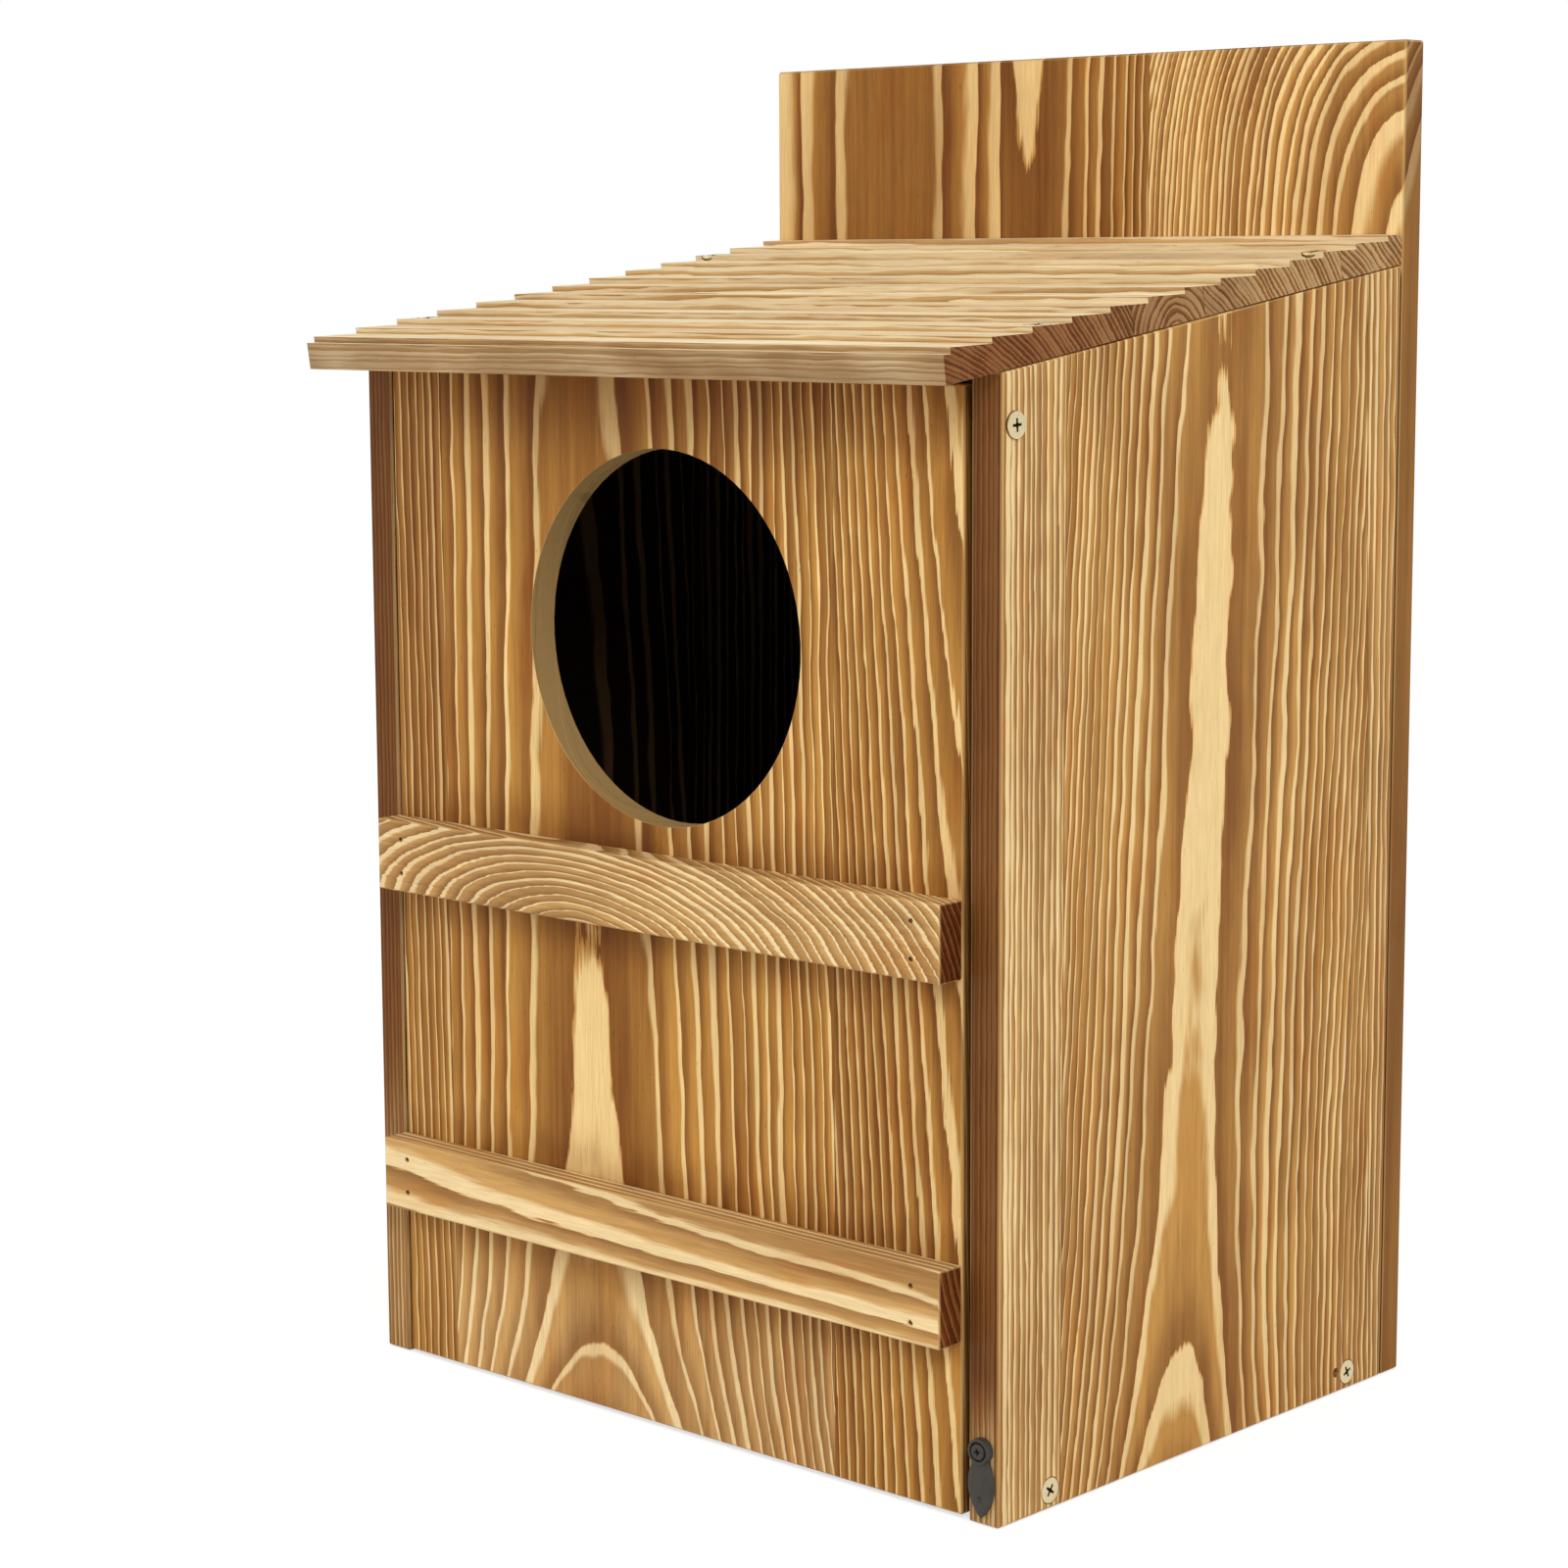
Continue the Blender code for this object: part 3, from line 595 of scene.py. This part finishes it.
# Floor panel
# A 12 mm board glued up from two staves, with its grain from side to side. It is screwed
# between the sides, and its top is painted nearly black as painted shade, like the rest of the
# inside.
floor_low, floor_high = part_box("floor_panel")
floor_pine, point, facing = start_board(
    "floor_pine", (QUARTER, QUARTER, 0), (0, floor_low.y, floor_high.z)
)
tree = floor_pine.node_tree
FLOOR_INSIDE_SHADE = 0.93
# Painted shade: the upper face, inside the box, is painted nearly black.
upper_face = turned(tree, split(tree, facing)["Y"], 0.0, FLOOR_INSIDE_SHADE, way=-1)
torch_board(
    floor_pine, point, facing,
    staves=[
        stave((0.030, 0.030), lean=(0.02, 0.03), heart=0.030, seed=31.0, paleness=0.2),
        stave((0.180, 0.022), lean=(-0.03, 0.04), heart=0.026, seed=33.0, paleness=0.3),
    ],
    joints=[(0.098, 0.0)],
    darkening=upper_face,
)
dress("floor_panel", floor_pine)
ease_arrises("floor_panel")


# Roof board
# An 11 mm board of four staves with lapped steps cut in its top, laid to the slope with its
# grain from side to side. It is torched lightly, so it is the palest board. Its ends are
# reddish brown, and its front edge is scorched in patches.
ROOF_SLOPE = math.radians(8.2)
ROOF_FRONT_HEIGHT = 0.0108
STEP_PITCH = 0.0192
FIRST_STEP_SETBACK = 0.0034
FRONT_SCORCH_REACH = (0.004, 0.008)
SCORCH_PATCH = (0.030, 0.030, 0.050)
END_SCORCH_REACH = (0.03, 0.20)
roof_low, roof_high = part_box("roof_board")
roof_pine, point, facing = start_board(
    "roof_pine", (QUARTER - ROOF_SLOPE, QUARTER, 0),
    (0, roof_low.y, roof_low.z + ROOF_FRONT_HEIGHT)
)
tree = roof_pine.node_tree
# Painted shade: each tread darkens just before the foot of the next riser, in the step's corner, and the
# risers are darkened like the board's edges, partly as toast and partly as painted shade.
up_slope = maths(tree, "SUBTRACT", split(tree, point)["X"], FIRST_STEP_SETBACK)
past_riser = maths(tree, "FRACT", maths(tree, "DIVIDE", up_slope, STEP_PITCH))
patchy = maths(tree, "MULTIPLY_ADD", clouded(tree, point, SCORCH_PATCH), 1.4, 1.0)
edge_darkening = smooth_step(tree, split(tree, point)["X"], *FRONT_SCORCH_REACH, 0.64, 0.24)
torch_board(
    roof_pine, point, facing,
    staves=[
        stave((-0.030, 0.080), lean=(0.006, 0.004), ring_width=0.0017, share=0.68, waviness=0.002,
              seed=41.0, paleness=0.97),
        stave((0.112, 0.020), lean=(-0.006, 0.03), ring_width=0.0026, share=0.68, waviness=0.003,
              seed=43.0, paleness=0.92),
        stave((0.085, 0.070), lean=(0.005, 0.006), ring_width=0.0019, share=0.68, waviness=0.002,
              seed=45.0, paleness=0.97),
        stave((0.150, 0.080), lean=(0.004, -0.006), ring_width=0.0022, share=0.68, waviness=0.002,
              seed=47.0, paleness=1.0),
    ],
    joints=[(0.0905, 0.0), (0.128, 0.0), (0.205, 0.0)],
    darkening=smooth_step(tree, past_riser, 0.7, 1.0, 0.0, 0.06),
    edge_darkening=maths(tree, "MULTIPLY", edge_darkening, patchy),
    end_burn=smooth_step(tree, split(tree, point)["X"], *END_SCORCH_REACH, 0.92, 0.56),
)
dress("roof_board", roof_pine)
ease_arrises("roof_board")


# Door panel
# An 11 mm board of three staves with the round entrance hole sawn through it. It is darkest
# close under the roof, partly from the torch and partly as painted shade. Painted shade darkens
# it a little along the battens, and the torch a little on the outer staves. Its inner face is
# painted nearly black as painted shade, and the hole's wall is bare sawn wood.
DOOR_JOINTS = (-0.1067, 0.0765)
DOOR_INSIDE_SHADE = 0.96
ROOF_SCORCH_AND_SHADE_REACH = 0.045
LEFT_TOAST_RISE = (0.06, 0.24)
FOOT_FADE = (0.070, 0.020)
BATTEN_SHADE_REACH = 0.024
BATTEN_SHADE_PATCH = (0.025, 0.025, 0.025)
HOLE_HEIGHT = 0.270
HOLE_REACH = 0.07
SAW_MARK = (0.004, 0.0006, 0.004)
SAWN = (0.42, 0.262, 0.100, 1)
SAWN_SHADOW = (0.30, 0.18, 0.065, 1)
door_low, door_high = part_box("door_panel")
door_pine, point, facing = start_board("door_pine", (0, 0, 0), (0, door_low.y, 0))
tree = door_pine.node_tree
across, _, height = split(tree, point)
# Painted shade: the inner face is painted nearly black.
inner_face = turned(tree, split(tree, facing)["Y"], 0.0, DOOR_INSIDE_SHADE)
# A darker band close under the roof, partly torch scorch and partly painted shade.
under_roof_scorch_and_shade = smooth_step(tree, height, door_high.z - ROOF_SCORCH_AND_SHADE_REACH, door_high.z, 0.0, 0.30)
toward_top = smooth_step(tree, height, *LEFT_TOAST_RISE, 0.12, 0.26)
from_joint = maths(tree, "SUBTRACT", across, DOOR_JOINTS[0])
left_stave = smooth_step(tree, from_joint, STAVE_BLEND, -STAVE_BLEND)
left_stave = maths(tree, "MULTIPLY", left_stave, toward_top)
from_joint = maths(tree, "SUBTRACT", across, DOOR_JOINTS[1])
right_stave = smooth_step(tree, from_joint, -STAVE_BLEND, STAVE_BLEND, 0.0, 0.11)
darkening = maths(tree, "MAXIMUM", inner_face, under_roof_scorch_and_shade)
darkening = maths(tree, "MAXIMUM", darkening, maths(tree, "MAXIMUM", left_stave, right_stave))
# Painted shade darkens the door in uneven patches beside each batten, where the batten meets the board.
unevenly = maths(tree, "MULTIPLY_ADD", clouded(tree, point, BATTEN_SHADE_PATCH), 2.4, 1.0)
for name in ("upper_batten", "lower_batten"):
    low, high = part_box(name)
    from_batten = maths(tree, "ABSOLUTE", maths(tree, "SUBTRACT", height, (low.z + high.z) / 2))
    edge = (high.z - low.z) / 2
    batten_shade = smooth_step(tree, from_batten, edge + BATTEN_SHADE_REACH, edge, 0.0, 0.22)
    darkening = maths(tree, "MAXIMUM", darkening, maths(tree, "MULTIPLY", batten_shade, unevenly))
foot_paleness = smooth_step(tree, height, *FOOT_FADE, 0.0, 0.34)
grain = torch_board(
    door_pine, point, facing,
    staves=[
        stave((-0.300, 0.030), lean=(-0.02, 0.0), ring_width=0.0038, share=0.29, waviness=0.002,
              seed=51.0, paleness=0.0),
        stave((-0.0325, 0.0368), lean=(-0.02, 0.03), flare=0.0248, flare_reach=0.0215, heart=0.0295,
              offset=0.962, share=0.245, unevenness=0.15, waviness=0.003, seed=332.5,
              paleness=foot_paleness),
        stave((0.14344, 0.070), lean=(-0.02326, -0.02413), sweep=-0.00982, ring_width=0.0024,
              offset=0.25, share=0.25, unevenness=0.15, waviness=0.0012, seed=874.5, paleness=0.0),
    ],
    joints=[(place, 0.0) for place in DOOR_JOINTS],
    darkening=darkening,
)
hole_middle = (0, 0, side_low.z + HOLE_HEIGHT)
from_hole = vectors(tree, "MULTIPLY", vectors(tree, "SUBTRACT", point, hole_middle), (1, 0, 1))
near_hole = maths(tree, "LESS_THAN", vectors(tree, "LENGTH", from_hole), HOLE_REACH)
turned_in = smooth_step(tree, maths(tree, "ABSOLUTE", split(tree, facing)["Y"]), 0.6, 0.3)
wall = maths(tree, "MULTIPLY", near_hole, turned_in)
saw_marks = clouded(tree, point, SAW_MARK, detail=3.0)
sawn = mixed(tree, maths(tree, "MULTIPLY_ADD", saw_marks, 0.6, 0.15), SAWN, SAWN_SHADOW)
set_finish(tree, {"Base Color": mixed(tree, wall, grain.outputs["Color"], sawn)})
dress("door_panel", door_pine)
ease_arrises("door_panel")


# Battens
# Two pine strips, 25 by 11 mm, nailed across the door and torched like it. The upper one was
# sawn close to the tree's middle, where the grain rises to the face, so its rings show as
# arches, and its ends are scorched most.
for name, middle, end_burn, staves in (
    ("upper_batten", -0.0236, 0.22, [
        stave((-0.0092, 0.0), lean=(0.065, 0.376), sweep=-0.325, ring_width=0.00246, offset=0.946,
              share=0.28, unevenness=0.3, waviness=0.002, seed=61.0, paleness=0.34),
    ]),
    ("lower_batten", 0.0, 0.0, [
        stave((0.0429, 0.1164), lean=(-0.067, 0.028), ring_width=0.0030, offset=0.422, share=0.40,
              unevenness=0.1, waviness=0.0010, seed=783.1, paleness=0.30),
    ]),
):
    low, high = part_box(name)
    batten_pine, point, facing = start_board(
        name + "_pine", (0, QUARTER, 0), (middle, low.y, low.z)
    )
    tree = batten_pine.node_tree
    endways = maths(tree, "ABSOLUTE", split(tree, facing)["Z"])
    darkening = turned(tree, endways, 0.0, end_burn)
    torch_board(batten_pine, point, facing, staves, darkening=darkening, edge_darkening=0.1, end_burn=0.94)
    dress(name, batten_pine)
    ease_arrises(name)


# Brads
# Thin wire nails without heads, two at each end of each batten. They are driven a little
# below the face, and the torch has stained their ends dark.
WIRE_STAIN = (0.0006, 0.0006, 0.0006)
WIRE_BROWN = (0.07, 0.040, 0.020, 1)
WIRE_TAN = (0.20, 0.13, 0.07, 1)
wire, tree = new_finish("dark_wire")
place = shader_node(tree, "TexCoord").outputs["Object"]
stain = maths(tree, "ADD", clouded(tree, place, WIRE_STAIN), 0.5)
set_finish(tree, {
    "Base Color": mixed(tree, stain, WIRE_BROWN, WIRE_TAN),
    "Roughness": maths(tree, "MULTIPLY_ADD", stain, 0.3, 0.4),
    "Metallic": 0.6,
})
for name in nodes:
    if "_brad_" in name:
        dress(name, wire)


# Countersunk screws
# Steel wood screws plated yellow, with cross recesses. Two pivot screws carry the door and
# stand a little proud, and the others hold the floor, the roof and the back in place.
SCREW_HEAD_WIDTH = 0.0084
SCREW_HEAD_DEPTH = 0.0026
SCREW_HEAD_RIM = 0.0005
SCREW_SHANK_WIDTH = 0.0036
SCREW_LENGTH = 0.035
SCREW_POINT = 0.005
SCREW_SIDES = 48
RIM_EASING = 0.00014
RECESS_SPAN = 0.0058
RECESS_WIDTH = 0.0012
RECESS_DEPTH = 0.0017
RECESS_TAPER = 0.45
RECESS_CORE_SHARE = 1.44
RECESS_CORE_DEPTH_SHARE = 1.1
RECESS_CORE_SIDES = 16
SMOOTH_BELOW = math.radians(35)
HIDDEN_SCREW_TURN = 37
DRIVEN_TURNS = {
    "pivot_screw_right": 4, "floor_screw_right_front": -35, "floor_screw_right_rear": 24,
    "roof_screw_right_front": 15, "roof_screw_left_front": 52, "roof_screw_left_rear": 31,
}
ZINC_BLOTCH = (0.0016, 0.0016, 0.0016)
ZINC_SCRATCH = (0.0002, 0.0002, 0.0012)
SCRATCH_DEPTH = 0.00004
ZINC_YELLOW = (0.66, 0.53, 0.27, 1)
ZINC_PALE = (0.70, 0.62, 0.42, 1)
GRIME_AND_SHADE = (0.030, 0.020, 0.008, 1)


def open_piece(piece):
    """Start editing one piece, by its faces."""
    bpy.ops.object.select_all(action="DESELECT")
    bpy.context.view_layer.objects.active = piece
    piece.select_set(True)
    bpy.ops.object.mode_set(mode="EDIT")
    bpy.ops.mesh.select_mode(type="FACE")


def pick_faces(piece, wanted):
    """Select only the faces that pass a test."""
    bpy.ops.mesh.select_all(action="DESELECT")
    shape = bmesh.from_edit_mesh(piece.data)
    for face in shape.faces:
        face.select_set(wanted(face))
    bmesh.update_edit_mesh(piece.data)


def join_shapes(piece, other, operation):
    """Cut one shape out of another, or fuse the two, and drop the other one."""
    joining = piece.modifiers.new("joining", "BOOLEAN")
    joining.operation = operation
    joining.object = other
    bpy.ops.object.select_all(action="DESELECT")
    bpy.context.view_layer.objects.active = piece
    bpy.ops.object.modifier_apply(modifier=joining.name)
    bpy.data.objects.remove(other)


def cut_cross(piece, top, span, width, depth):
    """Sink a cross recess, with blades that taper as they go down, into a head at the origin."""
    for turn in (0, QUARTER):
        bpy.ops.mesh.primitive_cube_add(size=1, location=(0, 0, top), rotation=(0, 0, turn))
        blade = bpy.context.object
        blade.scale = (span, width, 2 * depth)
        open_piece(blade)
        pick_faces(blade, lambda face: face.normal.z < -0.5)
        bpy.ops.transform.resize(value=(RECESS_TAPER, RECESS_TAPER, 1))
        bpy.ops.object.mode_set(mode="OBJECT")
        join_shapes(piece, blade, "DIFFERENCE")
    bpy.ops.mesh.primitive_cone_add(
        vertices=RECESS_CORE_SIDES, radius1=0, radius2=RECESS_CORE_SHARE * width,
        depth=2 * depth * RECESS_CORE_DEPTH_SHARE, location=(0, 0, top)
    )
    join_shapes(piece, bpy.context.object, "DIFFERENCE")


def push_out(distance):
    """Extrude the selected faces straight up, or down where the distance is below zero."""
    bpy.ops.mesh.extrude_region_move(TRANSFORM_OT_translate={"value": (0, 0, distance)})


bpy.ops.mesh.primitive_cylinder_add(
    vertices=SCREW_SIDES, radius=SCREW_HEAD_WIDTH / 2, depth=SCREW_HEAD_RIM,
    location=(0, 0, -SCREW_HEAD_RIM / 2)
)
screw = bpy.context.object
open_piece(screw)
pick_faces(screw, lambda face: face.normal.z < -0.5)
push_out(SCREW_HEAD_RIM - SCREW_HEAD_DEPTH)
neck = SCREW_SHANK_WIDTH / SCREW_HEAD_WIDTH
bpy.ops.transform.resize(value=(neck, neck, 1))
push_out(SCREW_HEAD_DEPTH + SCREW_POINT - SCREW_LENGTH)
push_out(-SCREW_POINT)
bpy.ops.mesh.merge(type="CENTER")
pick_faces(screw, lambda face: face.normal.z > 0.5)
bpy.ops.mesh.bevel(offset=RIM_EASING, segments=2, affect="EDGES")
bpy.ops.object.mode_set(mode="OBJECT")
bpy.ops.object.transform_apply(location=True)
cut_cross(screw, 0, RECESS_SPAN, RECESS_WIDTH, RECESS_DEPTH)
screw.data.shade_smooth()
bpy.context.view_layer.objects.active = screw
screw.select_set(True)
bpy.ops.object.shade_smooth_by_angle(angle=SMOOTH_BELOW)

# Dirt and painted shade lie on the faces of the recess: below the rim, near the middle and not facing
# down.
grime_and_shade = screw.data.attributes.new("grime_and_shade", "FLOAT", "FACE")
for face in screw.data.polygons:
    sunk = -RECESS_DEPTH * 1.2 < face.center.z < -RIM_EASING
    in_recess = sunk and face.center.xy.length < RECESS_SPAN / 2 and face.normal.z > -0.1
    grime_and_shade.data[face.index].value = 1.0 if in_recess else 0.0

zinc, tree = new_finish("yellow_zinc")
place = shader_node(tree, "TexCoord").outputs["Object"]
dirt_and_shade = shader_node(tree, "Attribute", attribute_name="grime_and_shade").outputs["Fac"]
blotches = maths(tree, "ADD", clouded(tree, place, ZINC_BLOTCH), 0.5)
scratches = clouded(tree, place, ZINC_SCRATCH, detail=3.0)
plating = mixed(tree, blotches, ZINC_YELLOW, ZINC_PALE)
dullness = maths(tree, "MULTIPLY_ADD", blotches, 0.18, 0.30)
set_finish(tree, {
    "Base Color": mixed(tree, dirt_and_shade, plating, GRIME_AND_SHADE),
    "Roughness": maths(tree, "MULTIPLY_ADD", dirt_and_shade, 0.4, dullness),
    "Metallic": maths(tree, "MULTIPLY_ADD", dirt_and_shade, -0.5, 0.95),
    "Normal": relief(tree, scratches, SCRATCH_DEPTH, 0.4),
})
screw.data.materials.append(zinc)


def screw_seat(node, outward):
    """Where a screw of the frame has its head's top, and the way from its point to its head."""
    corners = {tuple(round(c, 7) for c in vertex.co) for vertex in nodes[node].data.vertices}
    corners = [Vector(corner) for corner in corners]
    tip = min(corners, key=lambda corner: corner.dot(outward))
    reach = max((corner - tip).length for corner in corners)
    rim = [corner for corner in corners if (corner - tip).length > reach - SCREW_HEAD_RIM / 2]
    head = sum(rim, Vector()) / len(rim)
    return head, (head - tip).normalized()


def copy_to(piece, name, place):
    """A copy of a piece with its own mesh, laid where it goes."""
    copy = bpy.data.objects.new(name, piece.data.copy())
    copy.data.transform(place)
    bpy.context.scene.collection.objects.link(copy)
    return copy


screws = sorted(name for name in nodes if "_screw_" in name and not name.startswith("latch"))
for index, name in enumerate(screws):
    if name.startswith("roof"):
        outward = Vector((0, 0, 1))
    elif name.startswith("back"):
        outward = Vector((0, 1, 0))
    else:
        outward = Vector((1 if "_right" in name else -1, 0, 0))
    head, axis = screw_seat(name, outward)
    turn = Vector((0, 0, 1)).rotation_difference(axis).to_matrix().to_4x4()
    driven = math.radians(DRIVEN_TURNS.get(name, HIDDEN_SCREW_TURN * index))
    place = Matrix.Translation(head) @ turn @ Matrix.Rotation(driven, 4, "Z")
    driven_screw = copy_to(screw, name + "_plated", place)
    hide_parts(name)
    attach(driven_screw, "door" if name.startswith("pivot") else "box")
bpy.data.objects.remove(screw)


# Turn button
# A small cast leaf with rounded edges that hangs from a cupped boss, lacquered black. It
# turns on a black round-head screw with a cross recess, whose head stands in the cup.
leaf_low, leaf_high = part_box("latch_plate")
screw_low, screw_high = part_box("latch_screw")
LEAF_LIFT = 0.0003
LEAF_EDGE = 0.0007
LEAF_DOME = [(0.00010, 0.00020), (0.00020, 0.00015), (0.00060, 0.00016), (0.00110, 0.00012)]
LEAF_STEPS = 24
LEAF_TAPER = 1.6
BOSS_WIDTH = 0.0083
BOSS_SIDES = 56
CUP_WIDTH = 0.0063
CUP_DEPTH = 0.0011
RIM_ROUNDING = 0.00025
DIMPLE_WIDTH = 0.0018
DIMPLE_RISE = 0.0065
DIMPLE_SIDES, DIMPLE_RINGS = 20, 12
BORE_SIDES = 24
LATCH_HEAD_WIDTH = 0.0052
LATCH_HEAD_HEIGHT = 0.0014
LATCH_SHANK_WIDTH = 0.0024
LATCH_SHANK_LENGTH = 0.013
LATCH_SCREW_POINT = 0.003
LATCH_SCREW_SIDES = 40
LATCH_RECESS_SPAN = 0.0034
LATCH_RECESS_WIDTH = 0.0011
LATCH_RECESS_DEPTH = 0.0011
LATCH_SCREW_TURN = math.radians(8)
LACQUER_PATCH = (0.003, 0.003, 0.003)
LACQUER_SKIN = (0.0007, 0.0007, 0.0007)
SKIN_DEPTH = 0.00012
LACQUER_BLACK = (0.022, 0.018, 0.013, 1)
LACQUER_GREY = (0.052, 0.046, 0.036, 1)
LACQUER_SHEEN = 0.35
pivot_x = (leaf_low.x + leaf_high.x) / 2
pivot_z = (screw_low.z + screw_high.z) / 2
seat_y = leaf_high.y
half_length = (pivot_z - leaf_low.z) / 2
half_width = (leaf_high.x - leaf_low.x) / 2
arc_radius = (half_length**2 + half_width**2) / (2 * half_width)
arc_turn = 2 * math.asin(half_length / arc_radius)
latch_place = Matrix.Translation((pivot_x, seat_y, pivot_z)) @ Matrix.Rotation(QUARTER, 4, "X")


def draw_out(width, height, profile):
    """Draw the selected round face out through a row of widths and heights, as on a lathe."""
    for next_width, next_height in profile:
        push_out(next_height - height)
        bpy.ops.transform.resize(value=(next_width / width, next_width / width, 1))
        width, height = next_width, next_height


# The leaf is drawn flat, from the pivot down one arc to the tip and back up the other one.
bpy.ops.mesh.primitive_plane_add(size=half_width, location=(0, 0, 0))
latch = bpy.context.object
latch.name = "turn_button_leaf"
open_piece(latch)
bpy.ops.mesh.select_mode(type="VERT")
bpy.ops.mesh.select_all(action="SELECT")
bpy.ops.mesh.merge(type="CENTER")
bpy.ops.transform.translate(value=(0, 0, LEAF_LIFT))
for side in (-1, 1):
    middle = (side * (arc_radius - half_width), -half_length, LEAF_LIFT)
    bpy.ops.mesh.spin(steps=LEAF_STEPS, angle=arc_turn, center=middle, axis=(0, 0, 1))
bpy.ops.mesh.select_all(action="SELECT")
bpy.ops.mesh.remove_doubles(threshold=WELD_WITHIN)
bpy.ops.mesh.edge_face_add()
bpy.ops.mesh.select_mode(type="FACE")
bpy.ops.mesh.select_all(action="SELECT")
push_out(LEAF_EDGE)
bpy.ops.mesh.select_all(action="SELECT")
bpy.ops.mesh.normals_make_consistent(inside=False)
pick_faces(latch, lambda face: face.normal.z > 0.9)
width, length = half_width, half_length
for inward, rise in LEAF_DOME:
    push_out(rise)
    bpy.ops.transform.resize(value=(1 - inward / width, 1 - LEAF_TAPER * inward / length, 1))
    width, length = width - inward, length - LEAF_TAPER * inward
bpy.ops.object.mode_set(mode="OBJECT")

boss_height = seat_y - leaf_low.y
bpy.ops.mesh.primitive_cylinder_add(
    vertices=BOSS_SIDES, radius=BOSS_WIDTH / 2, depth=boss_height - RIM_ROUNDING,
    location=(0, 0, (boss_height - RIM_ROUNDING) / 2)
)
boss = bpy.context.object
open_piece(boss)
pick_faces(boss, lambda face: face.normal.z > 0.9)
draw_out(BOSS_WIDTH, boss_height - RIM_ROUNDING, [
    (BOSS_WIDTH - 0.6 * RIM_ROUNDING, boss_height - 0.3 * RIM_ROUNDING),
    (BOSS_WIDTH - 2 * RIM_ROUNDING, boss_height),
    (CUP_WIDTH + RIM_ROUNDING, boss_height),
    (CUP_WIDTH, boss_height - RIM_ROUNDING),
    (CUP_WIDTH - RIM_ROUNDING, boss_height - CUP_DEPTH),
])
bpy.ops.object.mode_set(mode="OBJECT")
bpy.ops.object.transform_apply(location=True)
join_shapes(latch, boss, "UNION")

leaf_top = LEAF_LIFT + LEAF_EDGE + sum(rise for inward, rise in LEAF_DOME)
bpy.ops.mesh.primitive_uv_sphere_add(
    segments=DIMPLE_SIDES, ring_count=DIMPLE_RINGS, radius=DIMPLE_WIDTH / 2,
    location=(0, DIMPLE_RISE - 2 * half_length, leaf_top + DIMPLE_WIDTH / 6)
)
join_shapes(latch, bpy.context.object, "DIFFERENCE")
bore_radius = (screw_high.x - screw_low.x) / 4
bpy.ops.mesh.primitive_cylinder_add(
    vertices=BORE_SIDES, radius=bore_radius, depth=4 * boss_height, location=(0, 0, 0)
)
join_shapes(latch, bpy.context.object, "DIFFERENCE")
latch.data.transform(latch_place)
latch.select_set(True)
bpy.ops.object.shade_smooth_by_angle(angle=SMOOTH_BELOW)

lacquer, tree = new_finish("black_lacquer")
place = shader_node(tree, "TexCoord").outputs["Object"]
skin = clouded(tree, place, LACQUER_SKIN, detail=3.0)
patches = maths(tree, "ADD", clouded(tree, place, LACQUER_PATCH), 0.5)
set_finish(tree, {
    "Base Color": mixed(tree, patches, LACQUER_BLACK, LACQUER_GREY),
    "Roughness": maths(tree, "MULTIPLY_ADD", patches, 0.2, 0.42),
    "Specular IOR Level": LACQUER_SHEEN,
    "Normal": relief(tree, skin, SKIN_DEPTH, 0.6),
})
latch.data.materials.clear()
latch.data.materials.append(lacquer)
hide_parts("latch_plate")
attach(latch, "turn_button")

bpy.ops.mesh.primitive_cylinder_add(
    vertices=LATCH_SCREW_SIDES, radius=LATCH_HEAD_WIDTH / 2, depth=LATCH_HEAD_HEIGHT,
    location=(0, 0, LATCH_HEAD_HEIGHT / 2)
)
latch_screw = bpy.context.object
open_piece(latch_screw)
pick_faces(latch_screw, lambda face: face.normal.z > 0.5)
bpy.ops.mesh.bevel(offset=LATCH_HEAD_HEIGHT / 2, segments=5, affect="EDGES")
pick_faces(latch_screw, lambda face: face.normal.z < -0.5)
bpy.ops.mesh.inset(thickness=(LATCH_HEAD_WIDTH - LATCH_SHANK_WIDTH) / 2)
push_out(-LATCH_SHANK_LENGTH)
push_out(-LATCH_SCREW_POINT)
bpy.ops.mesh.merge(type="CENTER")
bpy.ops.object.mode_set(mode="OBJECT")
bpy.ops.object.transform_apply(location=True)
cut_cross(
    latch_screw, LATCH_HEAD_HEIGHT, LATCH_RECESS_SPAN, LATCH_RECESS_WIDTH, LATCH_RECESS_DEPTH
)
head_base = Vector((pivot_x, screw_low.y + LATCH_HEAD_HEIGHT, pivot_z))
facing_out = Matrix.Rotation(QUARTER, 4, "X") @ Matrix.Rotation(LATCH_SCREW_TURN, 4, "Z")
seated = copy_to(
    latch_screw, "latch_screw_black", Matrix.Translation(head_base) @ facing_out
)
bpy.data.objects.remove(latch_screw)
bpy.context.view_layer.objects.active = seated
seated.select_set(True)
bpy.ops.object.shade_smooth_by_angle(angle=SMOOTH_BELOW)
seated.data.materials.clear()
seated.data.materials.append(lacquer)
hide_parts("latch_screw")
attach(seated, "box")
